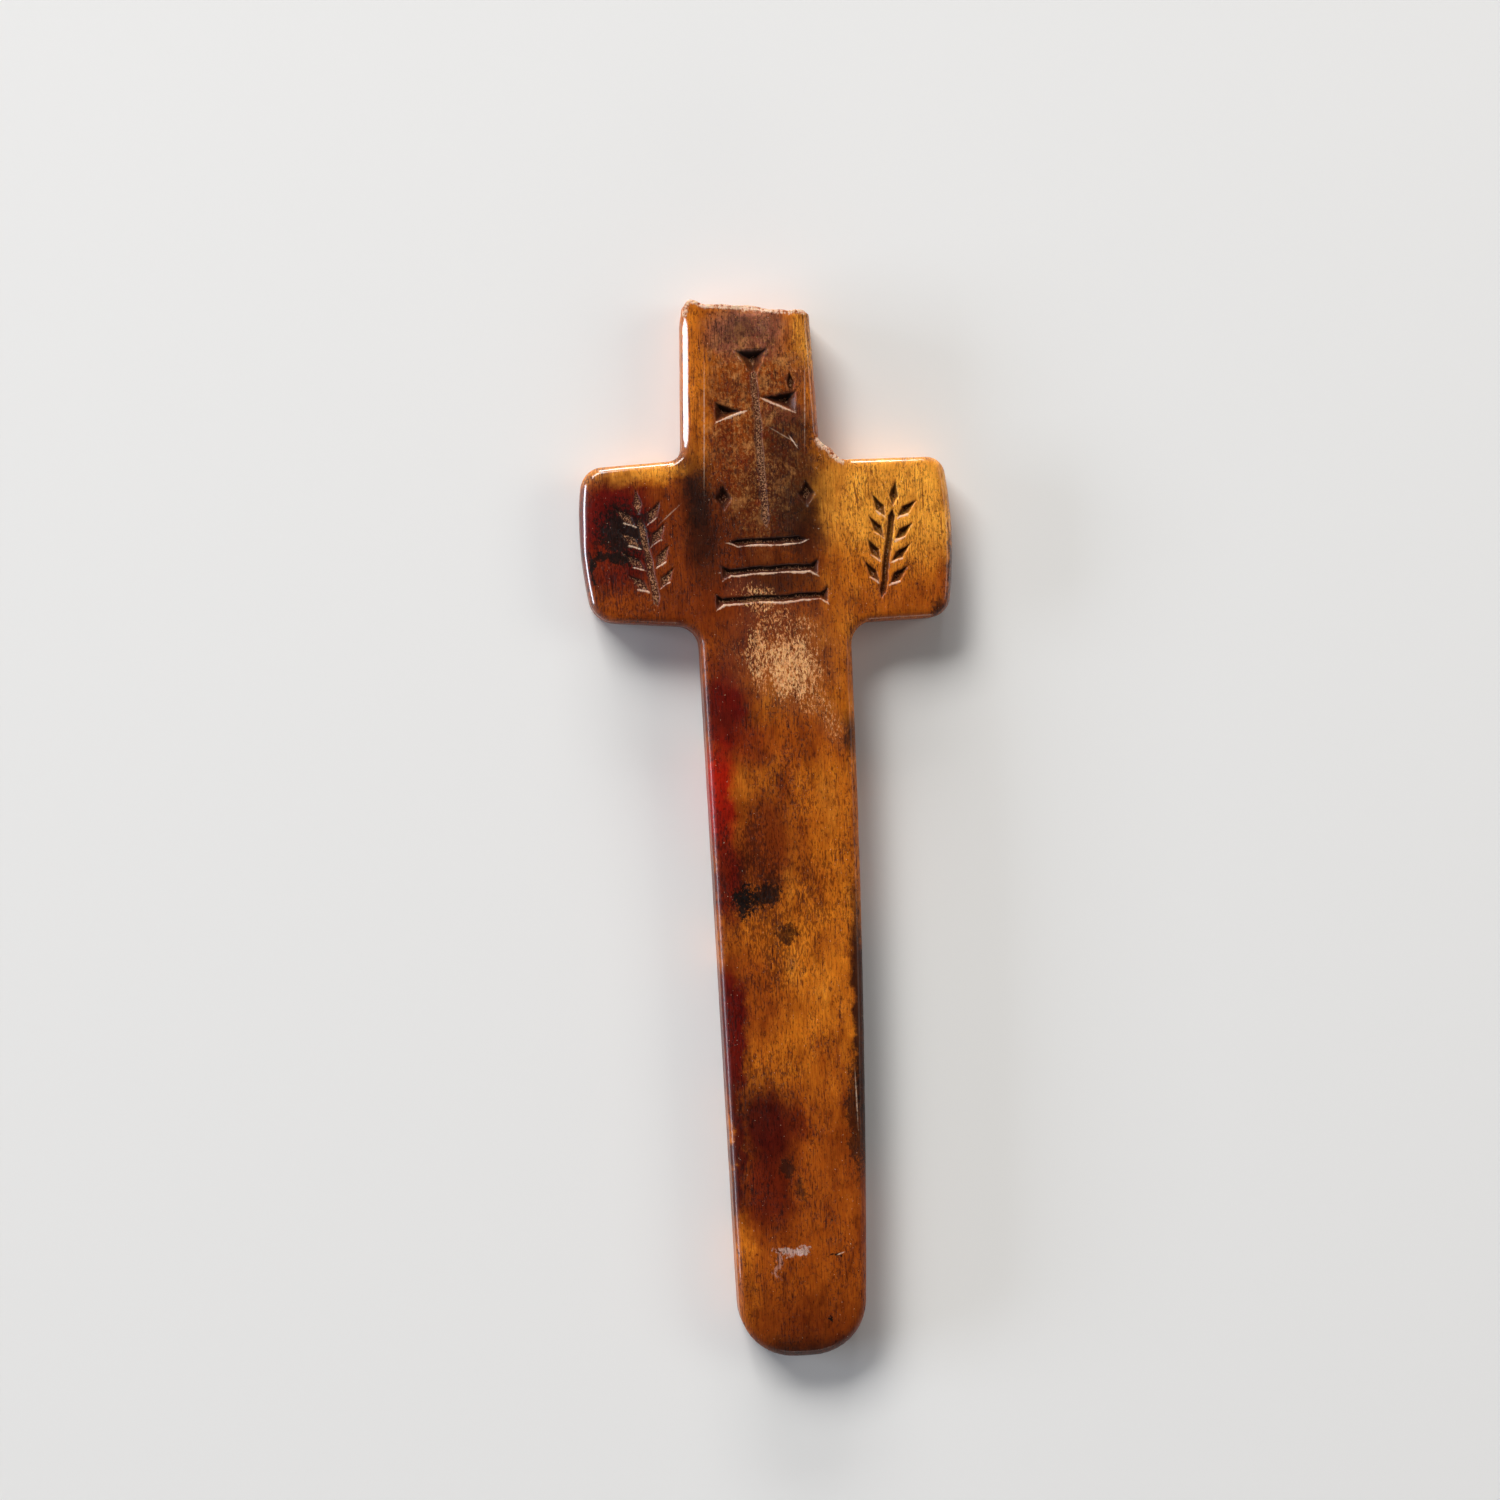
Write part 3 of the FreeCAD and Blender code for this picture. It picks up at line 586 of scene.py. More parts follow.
# %% Join the parts
def bone_mesh():
    """The whole cross as one closed mesh, with its masks as point attributes."""
    count = len(outline)
    front_inside = front_points()
    back_spots = honeycomb(0.5)
    back_inside = back_spots[within(back_spots, back_round + rough_edge * 0.3 + 0.15)]
    front_height = front(front_inside)[0]
    dents = 0.015 * (1 + grain(back_inside, 2.0, 31.0, 2.0))
    places = np.vstack([
        *rows,
        np.column_stack([front_inside, front_height]),
        np.column_stack([back_inside, dents]),
    ])
    top_ring = (len(rows) - 1) * count
    after_rows = len(rows) * count
    after_front = after_rows + len(front_inside)
    faces = []
    for level in range(len(rows) - 1):
        for number in range(count):
            after = (number + 1) % count
            low_row, high_row = level * count, (level + 1) * count
            faces.append((low_row + number, low_row + after, high_row + after, high_row + number))
    for face in filled(rows[-1][:, :2], front_inside):
        faces.append([n + top_ring if n < count else n - count + after_rows for n in face])
    for face in filled(rows[0][:, :2], back_inside):
        faces.append([n if n < count else n - count + after_front for n in face[::-1]])
    mesh = bpy.data.meshes.new("bone")
    mesh.from_pydata((places * MM).tolist(), [], faces)
    mesh.validate()
    masks = front(places[:, :2])[1]
    on_front = np.zeros(len(places))
    on_front[top_ring:after_front] = 1
    rim = np.zeros(len(places))
    for level in range(BACK_STEPS + SIDE_STEPS, len(rows)):
        share = (level - BACK_STEPS - SIDE_STEPS + 1) / (FRONT_STEPS + 1)
        rim[level * count:(level + 1) * count] = polish * math.sin(math.pi * min(share, 0.95))
    broken = np.zeros(len(places))
    broken[:after_rows] = np.tile(rough_edge, len(rows))
    masks = {name: mask * on_front for name, mask in masks.items()}
    masks["broken"] = np.maximum(broken, masks.pop("scar"))
    masks["rim"] = rim * (1 - broken)
    for name, mask in masks.items():
        mesh.attributes.new(name, "FLOAT", "POINT").data.foreach_set("value", mask)
    mesh.shade_smooth()
    return mesh


def added(name, data):
    """A new object in the scene that shows the data."""
    item = bpy.data.objects.new(name, data)
    bpy.context.scene.collection.objects.link(item)
    return item


bone = added("bone_cross_dressed", bone_mesh())
print("bone:", len(bone.data.vertices), "points,", len(bone.data.polygons), "faces")

# %% [markdown]
# ## A way to write shader maths
# A finish is a sum of many small masks. Wired by hand, the nodes hide what they say. One
# small class wraps a socket, so that sums on it add Math nodes, and one method makes any
# other node from its type, its settings and the values of its sockets. A finish then
# reads like the arithmetic that it is.

# %% Wires and finishes
class Wire:
    """A node's socket that can be used in sums, like a number."""

    def __init__(self, finish, socket):
        self.finish = finish
        self.socket = socket

    def sum(self, operation, first, second):
        return self.finish.node("Math", {"operation": operation}, {0: first, 1: second})

    def __add__(self, other):
        return self.sum("ADD", self, other)

    def __sub__(self, other):
        return self.sum("SUBTRACT", self, other)

    def __rsub__(self, other):
        return self.sum("SUBTRACT", other, self)

    def __mul__(self, other):
        return self.sum("MULTIPLY", self, other)

    __radd__ = __add__
    __rmul__ = __mul__


class Finish:
    """A material and the nodes that make its finish. Places in it are in mm."""

    def __init__(self, name):
        self.material = bpy.data.materials.new(name)
        self.material.use_nodes = True
        self.tree = self.material.node_tree
        self.tree.nodes.clear()
        place = self.node("TexCoord", out=3)
        in_mm = {0: place, 3: 1 / MM}
        self.place = self.node("VectorMath", {"operation": "SCALE"}, in_mm)

    def node(self, kind, settings=None, values=None, out=0):
        """A node of a kind: its settings, then its sockets' values or wires."""
        node = self.tree.nodes.new("ShaderNode" + kind)
        for name, value in (settings or {}).items():
            setattr(node, name, value)
        for socket, value in (values or {}).items():
            if isinstance(value, Wire):
                self.tree.links.new(value.socket, node.inputs[socket])
            else:
                node.inputs[socket].default_value = value
        return Wire(self, node.outputs[out]) if node.outputs else None

    def ramp(self, value, start, end):
        """0 before start, 1 after end, and a soft rise between them."""
        settings = {"interpolation_type": "SMOOTHSTEP"}
        return self.node("MapRange", settings, {0: value, 1: start, 2: end})

    def mix(self, first, second, share, blend="MIX"):
        """Two colours mixed by a share."""
        settings = {"data_type": "RGBA", "blend_type": blend}
        return self.node("Mix", settings, {0: share, 6: first, 7: second}, out=2)

    def waves(self, size, detail=2.0, stretch=(1, 1, 1), seed=0.0, rough=0.5):
        """Noise with waves of about a size in mm, drawn out by a stretch on each axis."""
        scale = tuple(1 / (size * share) for share in stretch)
        shift = (seed, seed * 0.7, seed * 1.3)
        spot = self.node("Mapping", {}, {0: self.place, 1: shift, 3: scale})
        values = {"Vector": spot, "Scale": 1.0, "Detail": detail, "Roughness": rough}
        return self.node("TexNoise", {}, values)

    def oval(self, middle, reach, lean=0.0, soft=0.4, place=None):
        """1 inside a leaning oval that goes right through the bone, 0 outside it."""
        spot = self.node(
            "Mapping", {"vector_type": "TEXTURE"},
            {
                0: place or self.place,
                1: (*middle, 0.0),
                2: (0.0, 0.0, math.radians(lean)),
                3: (reach[0] * (1 + soft), reach[1] * (1 + soft), 1e6),
            },
        )
        settings = {"gradient_type": "SPHERICAL"}
        nearness = self.node("TexGradient", settings, {0: spot}, out=1)
        return self.ramp(nearness, 0.0, 2 * soft / (1 + soft))

    def mask(self, name):
        """A mask that the mesh carries at its points."""
        return self.node("Attribute", {"attribute_name": name}, out=2)

    def surface(self, values):
        """The shader at the end, with its sockets' values or wires."""
        shader = self.node("BsdfPrincipled", {}, values)
        self.node("OutputMaterial", {}, {0: shader})


# %% [markdown]
# ## The bone
# Old bone is translucent and takes up grease and dyes from the ground unevenly. This one
# runs from bright amber on the right arm to nearly black in the crossing, with deep red
# along the shaft's left edge. Such stains follow no rule, so they are a short list of
# ovals whose edges are frayed by noise. Four of the ovals also paint light: the right arm
# is brighter amber towards its top and darker at its low edge, partly its own tone and
# partly a painted glow of light shining through the bone, and the foot is darker towards
# its bottom edge as painted shade. A second list has the dirty clumps, whose edges break
# up into specks. Everything fine follows a rule.

# %% Colours of the bone, its stains and the painted light on it
AMBER = (0.58, 0.158, 0.008, 1)
BRIGHT_AMBER = (0.93, 0.39, 0.042, 1)
GOLD = (0.55, 0.24, 0.07, 1)
BURNT = (0.33, 0.062, 0.003, 1)
BROWN = (0.19, 0.028, 0.002, 1)
DARK_BROWN = (0.042, 0.008, 0.002, 1)
NEAR_BLACK = (0.012, 0.005, 0.003, 1)
PLUM = (0.30, 0.095, 0.052, 1)
RUST = (0.22, 0.024, 0.002, 1)
RED_BROWN = (0.13, 0.010, 0.001, 1)
MAROON = (0.068, 0.003, 0.001, 1)
DEEP_RED = (0.115, 0.002, 0.001, 1)
BRIGHT_RED = (0.38, 0.006, 0.001, 1)
PALE_FLAKE = (0.86, 0.47, 0.20, 1)
ORANGE_FLAKE = (0.62, 0.22, 0.06, 1)
GREY_DIRT = (0.58, 0.27, 0.13, 1)
CHALK = (0.60, 0.48, 0.43, 1)
# Pale tone of the real scratches, also used for the painted highlights on the cut edges and the
# break, and for the painted glints.
PALE_SCRATCH_AND_HIGHLIGHT = (0.80, 0.56, 0.40, 1)
STAINS_AND_PAINTED_LIGHT = [
    (BROWN, (-6.4, 15.4), (5.3, 5.0), 0, 0.3, 0.95),
    (AMBER, (-7.4, 20.2), (3.6, 0.8), 4, 0.5, 0.9),
    (BRIGHT_AMBER, (-7.3, 20.3), (3.2, 0.7), 4, 0.5, 0.7),
    (BURNT, (-9.0, 12.7), (1.6, 1.3), 30, 0.6, 0.7),
    (BROWN, (-0.4, 18.5), (4.2, 9.5), 3, 0.3, 0.85),
    # Partly painted glow: the right arm's bright amber towards its top, and its darker low edge
    # below, stand in for light shining through the bone as well as its own tone.
    (BRIGHT_AMBER, (7.6, 18.4), (4.6, 3.2), -5, 0.5, 0.95),
    (BURNT, (7.3, 12.2), (4.2, 1.4), 0, 0.6, 0.7),
    (BRIGHT_AMBER, (2.75, 27.9), (0.8, 2.3), 4, 0.4, 0.9),
    (AMBER, (-3.85, 25.2), (0.8, 5.5), 3, 0.4, 0.9),
    (AMBER, (2.9, 23.6), (0.6, 2.8), 3, 0.5, 0.6),
    (PLUM, (-0.8, 27.9), (2.3, 1.4), -4, 0.4, 0.95),
    (PLUM, (1.3, 23.4), (1.2, 0.7), -6, 0.4, 0.5),
    (DARK_BROWN, (-3.7, 17.2), (1.1, 4.0), 6, 0.6, 0.95),
    (DARK_BROWN, (1.2, 19.4), (2.0, 4.0), 6, 0.5, 0.75),
    (DARK_BROWN, (2.2, 16.6), (0.8, 3.4), 4, 0.6, 0.55),
    (DARK_BROWN, (-0.9, 17.3), (1.7, 2.6), 0, 0.5, 0.55),
    (DARK_BROWN, (-0.3, 13.9), (2.6, 1.2), 0, 0.5, 0.75),
    (DEEP_RED, (-8.7, 16.9), (2.4, 3.3), 2, 0.35, 0.97),
    (RUST, (-9.3, 15.3), (1.3, 1.0), 0, 0.7, 0.6),
    (BROWN, (0.4, 8.6), (3.8, 3.2), 0, 0.5, 0.5),
    (BROWN, (-2.6, 11.0), (2.0, 3.4), 0, 0.5, 0.85),
    (BURNT, (1.4, 4.8), (2.6, 1.5), 0, 0.6, 0.85),
    (DEEP_RED, (-2.8, 6.2), (1.6, 2.9), 10, 0.5, 0.97),
    (RUST, (-1.2, 4.6), (1.1, 1.3), 20, 0.7, 0.7),
    (BRIGHT_RED, (-3.35, 1.6), (0.95, 3.0), 0, 0.5, 0.97),
    (BROWN, (-0.8, -1.0), (1.8, 3.6), 0, 0.6, 0.97),
    (BURNT, (2.0, 1.0), (1.6, 2.2), 0, 0.6, 0.4),
    (DEEP_RED, (-3.15, -3.0), (1.0, 2.9), 0, 0.5, 0.93),
    (BURNT, (-1.6, -9.4), (1.5, 3.2), 0, 0.6, 0.9),
    (BROWN, (-1.7, -9.6), (1.0, 2.4), 0, 0.6, 0.2),
    (BURNT, (1.0, -23.0), (4.2, 8.6), 0, 0.35, 0.9),
    (DEEP_RED, (-3.15, -11.4), (0.9, 4.8), 0, 0.45, 0.98),
    (RED_BROWN, (-1.5, -20.4), (1.7, 2.8), 0, 0.6, 0.95),
    (RUST, (0.3, -16.7), (0.6, 1.4), 0, 0.7, 0.8),
    (MAROON, (-1.4, -16.8), (1.7, 2.4), 4, 0.5, 0.97),
    (MAROON, (-3.1, -18.4), (0.4, 4.2), -1.5, 0.5, 0.95),
    (AMBER, (-2.95, -24.2), (0.45, 1.9), 0, 0.6, 0.7),
    # Painted shade: the foot grows darker towards its bottom edge, where the front falls away.
    (BROWN, (0.2, -28.8), (4.0, 2.1), 0, 0.6, 0.8),
    (DARK_BROWN, (0.2, -30.3), (4.2, 1.3), 0, 0.6, 0.8),
    (BROWN, (3.4, -17.2), (0.7, 3.8), 1, 0.5, 0.6),
    (DARK_BROWN, (4.3, -12.8), (0.55, 8.8), 1.4, 0.35, 0.97),
    (DARK_BROWN, (4.3, 5.0), (0.35, 1.1), 0, 0.6, 0.8),
    (DARK_BROWN, (10.3, 14.1), (0.2, 2.0), -4, 0.6, 0.8),
    (DARK_BROWN, (9.5, 12.0), (0.3, 0.5), -30, 0.6, 0.8),
]
CLUMPS = [
    (NEAR_BLACK, (-8.1, 16.8), (1.5, 1.8), 10, 0.95),
    (NEAR_BLACK, (-8.7, 15.5), (1.5, 0.32), -8, 0.95),
    (NEAR_BLACK, (-9.95, 14.9), (0.16, 1.1), 4, 1.0),
    (NEAR_BLACK, (-2.1, -4.15), (0.66, 0.95), 0, 1.0),
    (NEAR_BLACK, (-0.85, -3.9), (1.1, 0.65), 20, 0.9),
    (NEAR_BLACK, (-0.6, -2.9), (0.5, 0.5), 0, 0.5),
    (DARK_BROWN, (-1.9, -1.9), (0.6, 0.7), 0, 0.4),
    (DARK_BROWN, (0.15, -6.05), (0.6, 0.5), 0, 0.8),
    (NEAR_BLACK, (-3.8, 18.4), (0.6, 1.8), 4, 0.55),
    (NEAR_BLACK, (1.4, 17.4), (1.1, 2.2), 0, 0.45),
    (NEAR_BLACK, (-0.9, 28.1), (1.7, 0.7), -4, 0.45),
    (DARK_BROWN, (1.5, 22.0), (1.3, 1.3), 0, 0.6),
    (NEAR_BLACK, (-0.3, -19.3), (0.4, 0.7), 0, 0.75),
    (NEAR_BLACK, (0.5, -20.5), (0.3, 0.8), 10, 0.6),
    (NEAR_BLACK, (3.7, -16.8), (0.5, 3.2), 1, 0.7),
    (NEAR_BLACK, (2.32, -24.25), (0.26, 0.16), 40, 1.0),
    (NEAR_BLACK, (1.71, -28.11), (0.13, 0.13), 0, 1.0),
    (CHALK, (-0.26, -24.0), (0.95, 0.24), 6, 0.6),
    (CHALK, (-0.95, -24.7), (0.18, 0.6), 0, 0.25),
]
DARK_CLOUDS = [
    ((-1.4, -3.2), (2.2, 3.4), 15, 0.7),
    ((-1.9, -1.4), (1.2, 1.4), 0, 0.35),
    ((0.0, -6.6), (1.6, 1.6), 0, 0.5),
    ((2.3, -2.0), (1.1, 2.8), 0, 0.6),
    ((3.0, -4.6), (1.2, 1.6), 0, 0.35),
    ((-1.0, -10.4), (1.8, 3.2), 0, 0.25),
    ((1.2, -12.6), (1.6, 1.4), 0, 0.2),
    ((-0.9, -18.0), (1.6, 3.4), 0, 0.35),
    ((0.4, 3.0), (2.4, 2.4), 0, 0.25),
    ((5.6, 16.0), (1.2, 3.6), 0, 0.4),
    ((8.6, 14.6), (1.4, 2.2), 0, 0.4),
    ((-8.4, 15.0), (2.0, 3.2), 0, 0.45),
    ((-3.6, 18.0), (1.2, 3.6), 4, 0.2),
]
SCRATCHES = [
    ((-3.34, 22.8), 3.1, -2.3, 0.4),
    ((2.38, 23.7), 2.0, -2.3, 0.35),
    ((1.65, 21.65), 0.36, 33, 0.8),
    ((1.05, 22.05), 0.8, 58, 0.25),
    ((-5.44, 17.84), 0.64, -49, 0.3),
    ((3.75, -15.5), 1.3, 1.0, 0.55),
    ((2.5, -24.2), 0.2, -70, 0.9),
]

# %% The ground tone, the stains, and the painted glow and shade
look = Finish("old_bone")
drift = {"Vector": look.place, "Scale": 0.9, "Detail": 6.0, "Roughness": 0.68}
fray = look.node("VectorMath", {"operation": "MULTIPLY_ADD"}, {
    0: look.node("TexNoise", {}, drift, out=1),
    1: (1.9, 1.9, 0.0),
    2: look.place,
})
fray = look.node("VectorMath", {"operation": "ADD"}, {0: fray, 1: (-0.95, -0.95, 0.0)})
clouds = look.waves(2.6, 4.0, (0.8, 2.0, 1), 3.0, 0.6)
colour = look.mix(BURNT, AMBER, look.ramp(clouds, 0.28, 0.50))
colour = look.mix(colour, BRIGHT_AMBER, look.ramp(clouds, 0.52, 0.80) * 0.35)
for oval_colour, middle, reach, lean, soft, strength in STAINS_AND_PAINTED_LIGHT:
    oval_share = look.oval(middle, reach, lean, soft, fray) * strength
    colour = look.mix(colour, oval_colour, oval_share)

# %% [markdown]
# The middle of the head was rubbed over and over. Its stain broke up into gold and dark
# specks, so that the oval there is not a tone but a mix of fine noises. The clumps use
# the same idea: noise is added to the oval before it is cut off at a level. They lie on
# the surface, so they stay off the back, while the stains go right through.

# %% Specks of the rubbed head, and the clumps
speckle = look.waves(0.16, 4.0, (1, 1.3, 1), 61.0, 0.75)
speckle_two = look.waves(0.22, 4.0, (1, 1.3, 1), 67.0, 0.75)
rubbed = look.oval((-0.5, 23.0), (2.7, 6.2), 3, 0.35, fray)
tinted = look.waves(0.8, 3.0, (1, 1.3, 1), 23.0, 0.65)
colour = look.mix(colour, GOLD, look.ramp(tinted, 0.50, 0.66) * rubbed * 0.5)
colour = look.mix(colour, RUST, look.ramp(tinted, 0.47, 0.34) * rubbed * 0.5)
colour = look.mix(colour, GOLD, look.ramp(speckle, 0.48, 0.64) * rubbed * 0.6)
colour = look.mix(colour, DARK_BROWN, look.ramp(speckle_two, 0.52, 0.38) * rubbed * 0.7)
lifted = look.node("SeparateXYZ", {}, {0: look.place}, out=2)
upper = look.ramp(lifted, 0.8, 1.8)
for oval_colour, middle, reach, lean, strength in CLUMPS:
    clump = look.oval(middle, reach, lean, 0.95, fray) + (speckle - 0.5) * 2.2
    colour = look.mix(colour, oval_colour, look.ramp(clump, 0.42, 0.72) * upper * strength)

# %% [markdown]
# ## The grain
# The canals of the bone run along the shaft. Cut open by the scraper, they show as fine
# dark threads and pores. Four noises draw them: thin threads everywhere, stronger streaks
# that come in groups, rounder specks, and short dashes. Where the bone took up more dirt,
# the level of the dashes is raised until they close up to a cloud. All of them darken the
# tone that is there already, and some lower the bump a little.

# %% Mottle, threads, streaks, specks and dashes
mottle = look.waves(0.55, 4.0, (1, 1.6, 1), 9.0, 0.65)
canals = look.waves(0.07, 1.0, (1, 14, 4), 5.0)
many = look.ramp(look.waves(1.7, 2.0, (1, 2, 1), 14.0), 0.3, 0.62)
streaks = look.ramp(canals, 0.57, 0.70) * (0.2 + 0.8 * many)
threads = look.ramp(look.waves(0.055, 2.0, (1, 18, 4), 19.0), 0.40, 0.66)
specks = look.ramp(look.waves(0.13, 3.0, (1, 1.5, 1), 27.0, 0.75), 0.55, 0.64)
specks = specks * (0.25 + 0.75 * many)
patches = look.waves(1.1, 3.0, (0.8, 1.7, 1), 83.0, 0.6)
dashes = look.waves(0.09, 2.0, (1, 3.2, 2), 97.0, 0.65) + (many - 0.5) * 0.06
for middle, reach, lean, strength in DARK_CLOUDS:
    dashes = dashes + look.oval(middle, reach, lean, 0.9, fray) * (strength * 0.17)
glints = look.ramp(look.waves(0.08, 0.0, (1, 1, 1), 71.0), 0.84, 0.87)
for tone, share in (
    ((0.55, 0.42, 0.35, 1), look.ramp(patches, 0.52, 0.32) * 0.65),
    ((1.35, 1.5, 1.6, 1), look.ramp(patches, 0.52, 0.72) * 0.5),
    ((0.40, 0.30, 0.25, 1), look.ramp(mottle, 0.46, 0.27) * 0.5),
    ((1.5, 1.7, 1.9, 1), look.ramp(mottle, 0.52, 0.75) * 0.55),
    ((0.26, 0.20, 0.20, 1), look.ramp(dashes, 0.57, 0.68) * 0.75),
    ((0.52, 0.36, 0.26, 1), threads * 0.45),
    ((0.24, 0.14, 0.10, 1), streaks * 0.85),
    ((0.16, 0.09, 0.07, 1), specks * 0.75),
):
    colour = look.mix(colour, tone, share, "MULTIPLY")
colour = look.mix(colour, PALE_SCRATCH_AND_HIGHLIGHT, glints * 0.5)
scratched = 0.0
for middle, half, lean, strength in SCRATCHES:
    line = look.oval(middle, (0.035, half), lean, 0.6)
    scratched = line * strength + scratched
scratched = scratched * upper
colour = look.mix(colour, PALE_SCRATCH_AND_HIGHLIGHT, scratched * look.ramp(speckle, 0.32, 0.55))

# %% [markdown]
# ## Flaked, broken and cut
# Where the polish has flaked off, pale fibres stand between dark gaps: the more worn, the
# more of the noise lies above the level. The broken top is a mix of rusty and pale crumbs,
# with a painted highlight along its upper edge. A cut is darker inside, with gritty dirt in
# its bottom, painted shade on its upper wall and a painted highlight along its lower edge,
# where the walls face the light beyond the head. The mesh carries these masks at its
# points, worked out with its form.

# %% Flakes, the break, the cuts, and their painted highlights and shade
cut, dirt, scuff = (look.mask(name) for name in ("cut", "dirt", "scuff"))
broken, lip_highlight, shade, rim = (look.mask(name) for name in ("broken", "lip_highlight", "shade", "rim"))
fibres = look.waves(0.11, 3.0, (1, 2.6, 1), 17.0, 0.7)
flecks = look.waves(0.10, 3.0, (1, 2.2, 1), 51.0, 0.78)
level = 0.735 - 0.36 * scuff - 0.25 * (patches - 0.5)
flake = look.ramp(flecks - level, 0.0, 0.15) * look.ramp(scuff, 0.03, 0.3)
colour = look.mix(colour, DARK_BROWN, look.ramp(scuff, 0.1, 0.7) * (1 - flake) * 0.2)
creamy = look.ramp(scuff + (fibres - 0.5) * 2.4, 0.45, 1.1)
pale = look.mix(ORANGE_FLAKE, PALE_FLAKE, creamy)
colour = look.mix(colour, pale, flake * 0.9)
crumbs = look.waves(0.25, 3.0, (1, 1, 1), 91.0, 0.7)
# Painted highlight: the break grows paler towards the front, along its upper edge, on top of the
# pale crumbs.
pale_crumbs_and_highlight = crumbs + (fibres - 0.5) * 0.6 + look.ramp(lifted, 2.5, 3.0) * 0.2
pale_crumbs_and_highlight = look.ramp(pale_crumbs_and_highlight, 0.52, 0.74)
torn_and_highlight = look.mix(RUST, ORANGE_FLAKE, look.ramp(crumbs, 0.30, 0.58))
torn_and_highlight = look.mix(torn_and_highlight, PALE_SCRATCH_AND_HIGHLIGHT, pale_crumbs_and_highlight)
colour = look.mix(colour, torn_and_highlight, look.ramp(broken + (fibres - 0.5) * 0.8, 0.4, 0.8) * 0.9)
# The cut walls are darker where no dirt lies, and the upper wall is painted near black as painted
# shade.
colour = look.mix(colour, DARK_BROWN, look.ramp(cut, 0.02, 0.35) * (1 - dirt) * 0.75)
colour = look.mix(colour, NEAR_BLACK, shade * look.ramp(cut, 0.05, 0.4) * 0.9)
grit = look.waves(0.085, 2.0, (1, 1.2, 1), 33.0, 0.7)
grime = look.mix(DARK_BROWN, GREY_DIRT, look.ramp(grit, 0.46, 0.64))
gaps = (speckle_two - 0.5) * 1.8 + (patches - 0.5) * 2.4
packed_dirt = look.ramp(dirt + gaps, 0.35, 0.95) * look.ramp(dirt, 0.05, 0.3)
colour = look.mix(colour, grime, packed_dirt * (1 - 0.6 * shade) * 0.9)
# Painted highlight: a broken pale line along the cut edges that face the light beyond the head.
painted_lip_highlight = look.ramp(lip_highlight + (fibres - 0.5) * 1.2 + (patches - 0.5) * 1.5, 0.45, 0.95)
colour = look.mix(colour, PALE_SCRATCH_AND_HIGHLIGHT, painted_lip_highlight * 0.55)

# %% Relief, gloss and the surface
height = (
    (canals - 0.5) * -0.008 + (mottle - 0.5) * 0.014
    + (fibres - 0.5) * (flake * 0.07 + broken * 0.08) + (grit - 0.5) * dirt * 0.08
    + (crumbs - 0.5) * broken * 0.18
    - streaks * 0.005 - specks * 0.008 - scratched * 0.012
)
worn = look.ramp(cut + scuff + broken + dirt, 0.0, 0.7)
look.surface({
    "Base Color": colour,
    "Roughness": 0.36 + (mottle - 0.5) * 0.2 + worn * 0.35,
    "Normal": look.node("Bump", {}, {"Strength": 1.0, "Distance": MM, "Height": height}),
    "Subsurface Weight": 0.2,
    "Subsurface Radius": (1.0, 0.32, 0.1),
    "Subsurface Scale": 0.45 * MM,
    "IOR": 1.5,
    "Specular IOR Level": 0.18,
    "Coat Weight": (1 - worn) * (0.06 + 0.94 * rim),
    "Coat Roughness": 0.10,
    "Coat IOR": 1.8,
})
bone.data.materials.append(look.material)

# %% [markdown]
# ## Grains of dirt in the cuts
# The cuts of the real cross are packed with gritty dirt. A bump can't give lumps that
# catch the light from every side, and hundreds of them by hand would be a chore. Geometry
# Nodes scatter them: points on the faces that carry the dirt mask, a tiny rough stone on
# each point, turned and sized at random from a fixed seed. The result is made a plain
# mesh, because instances don't leave the file.

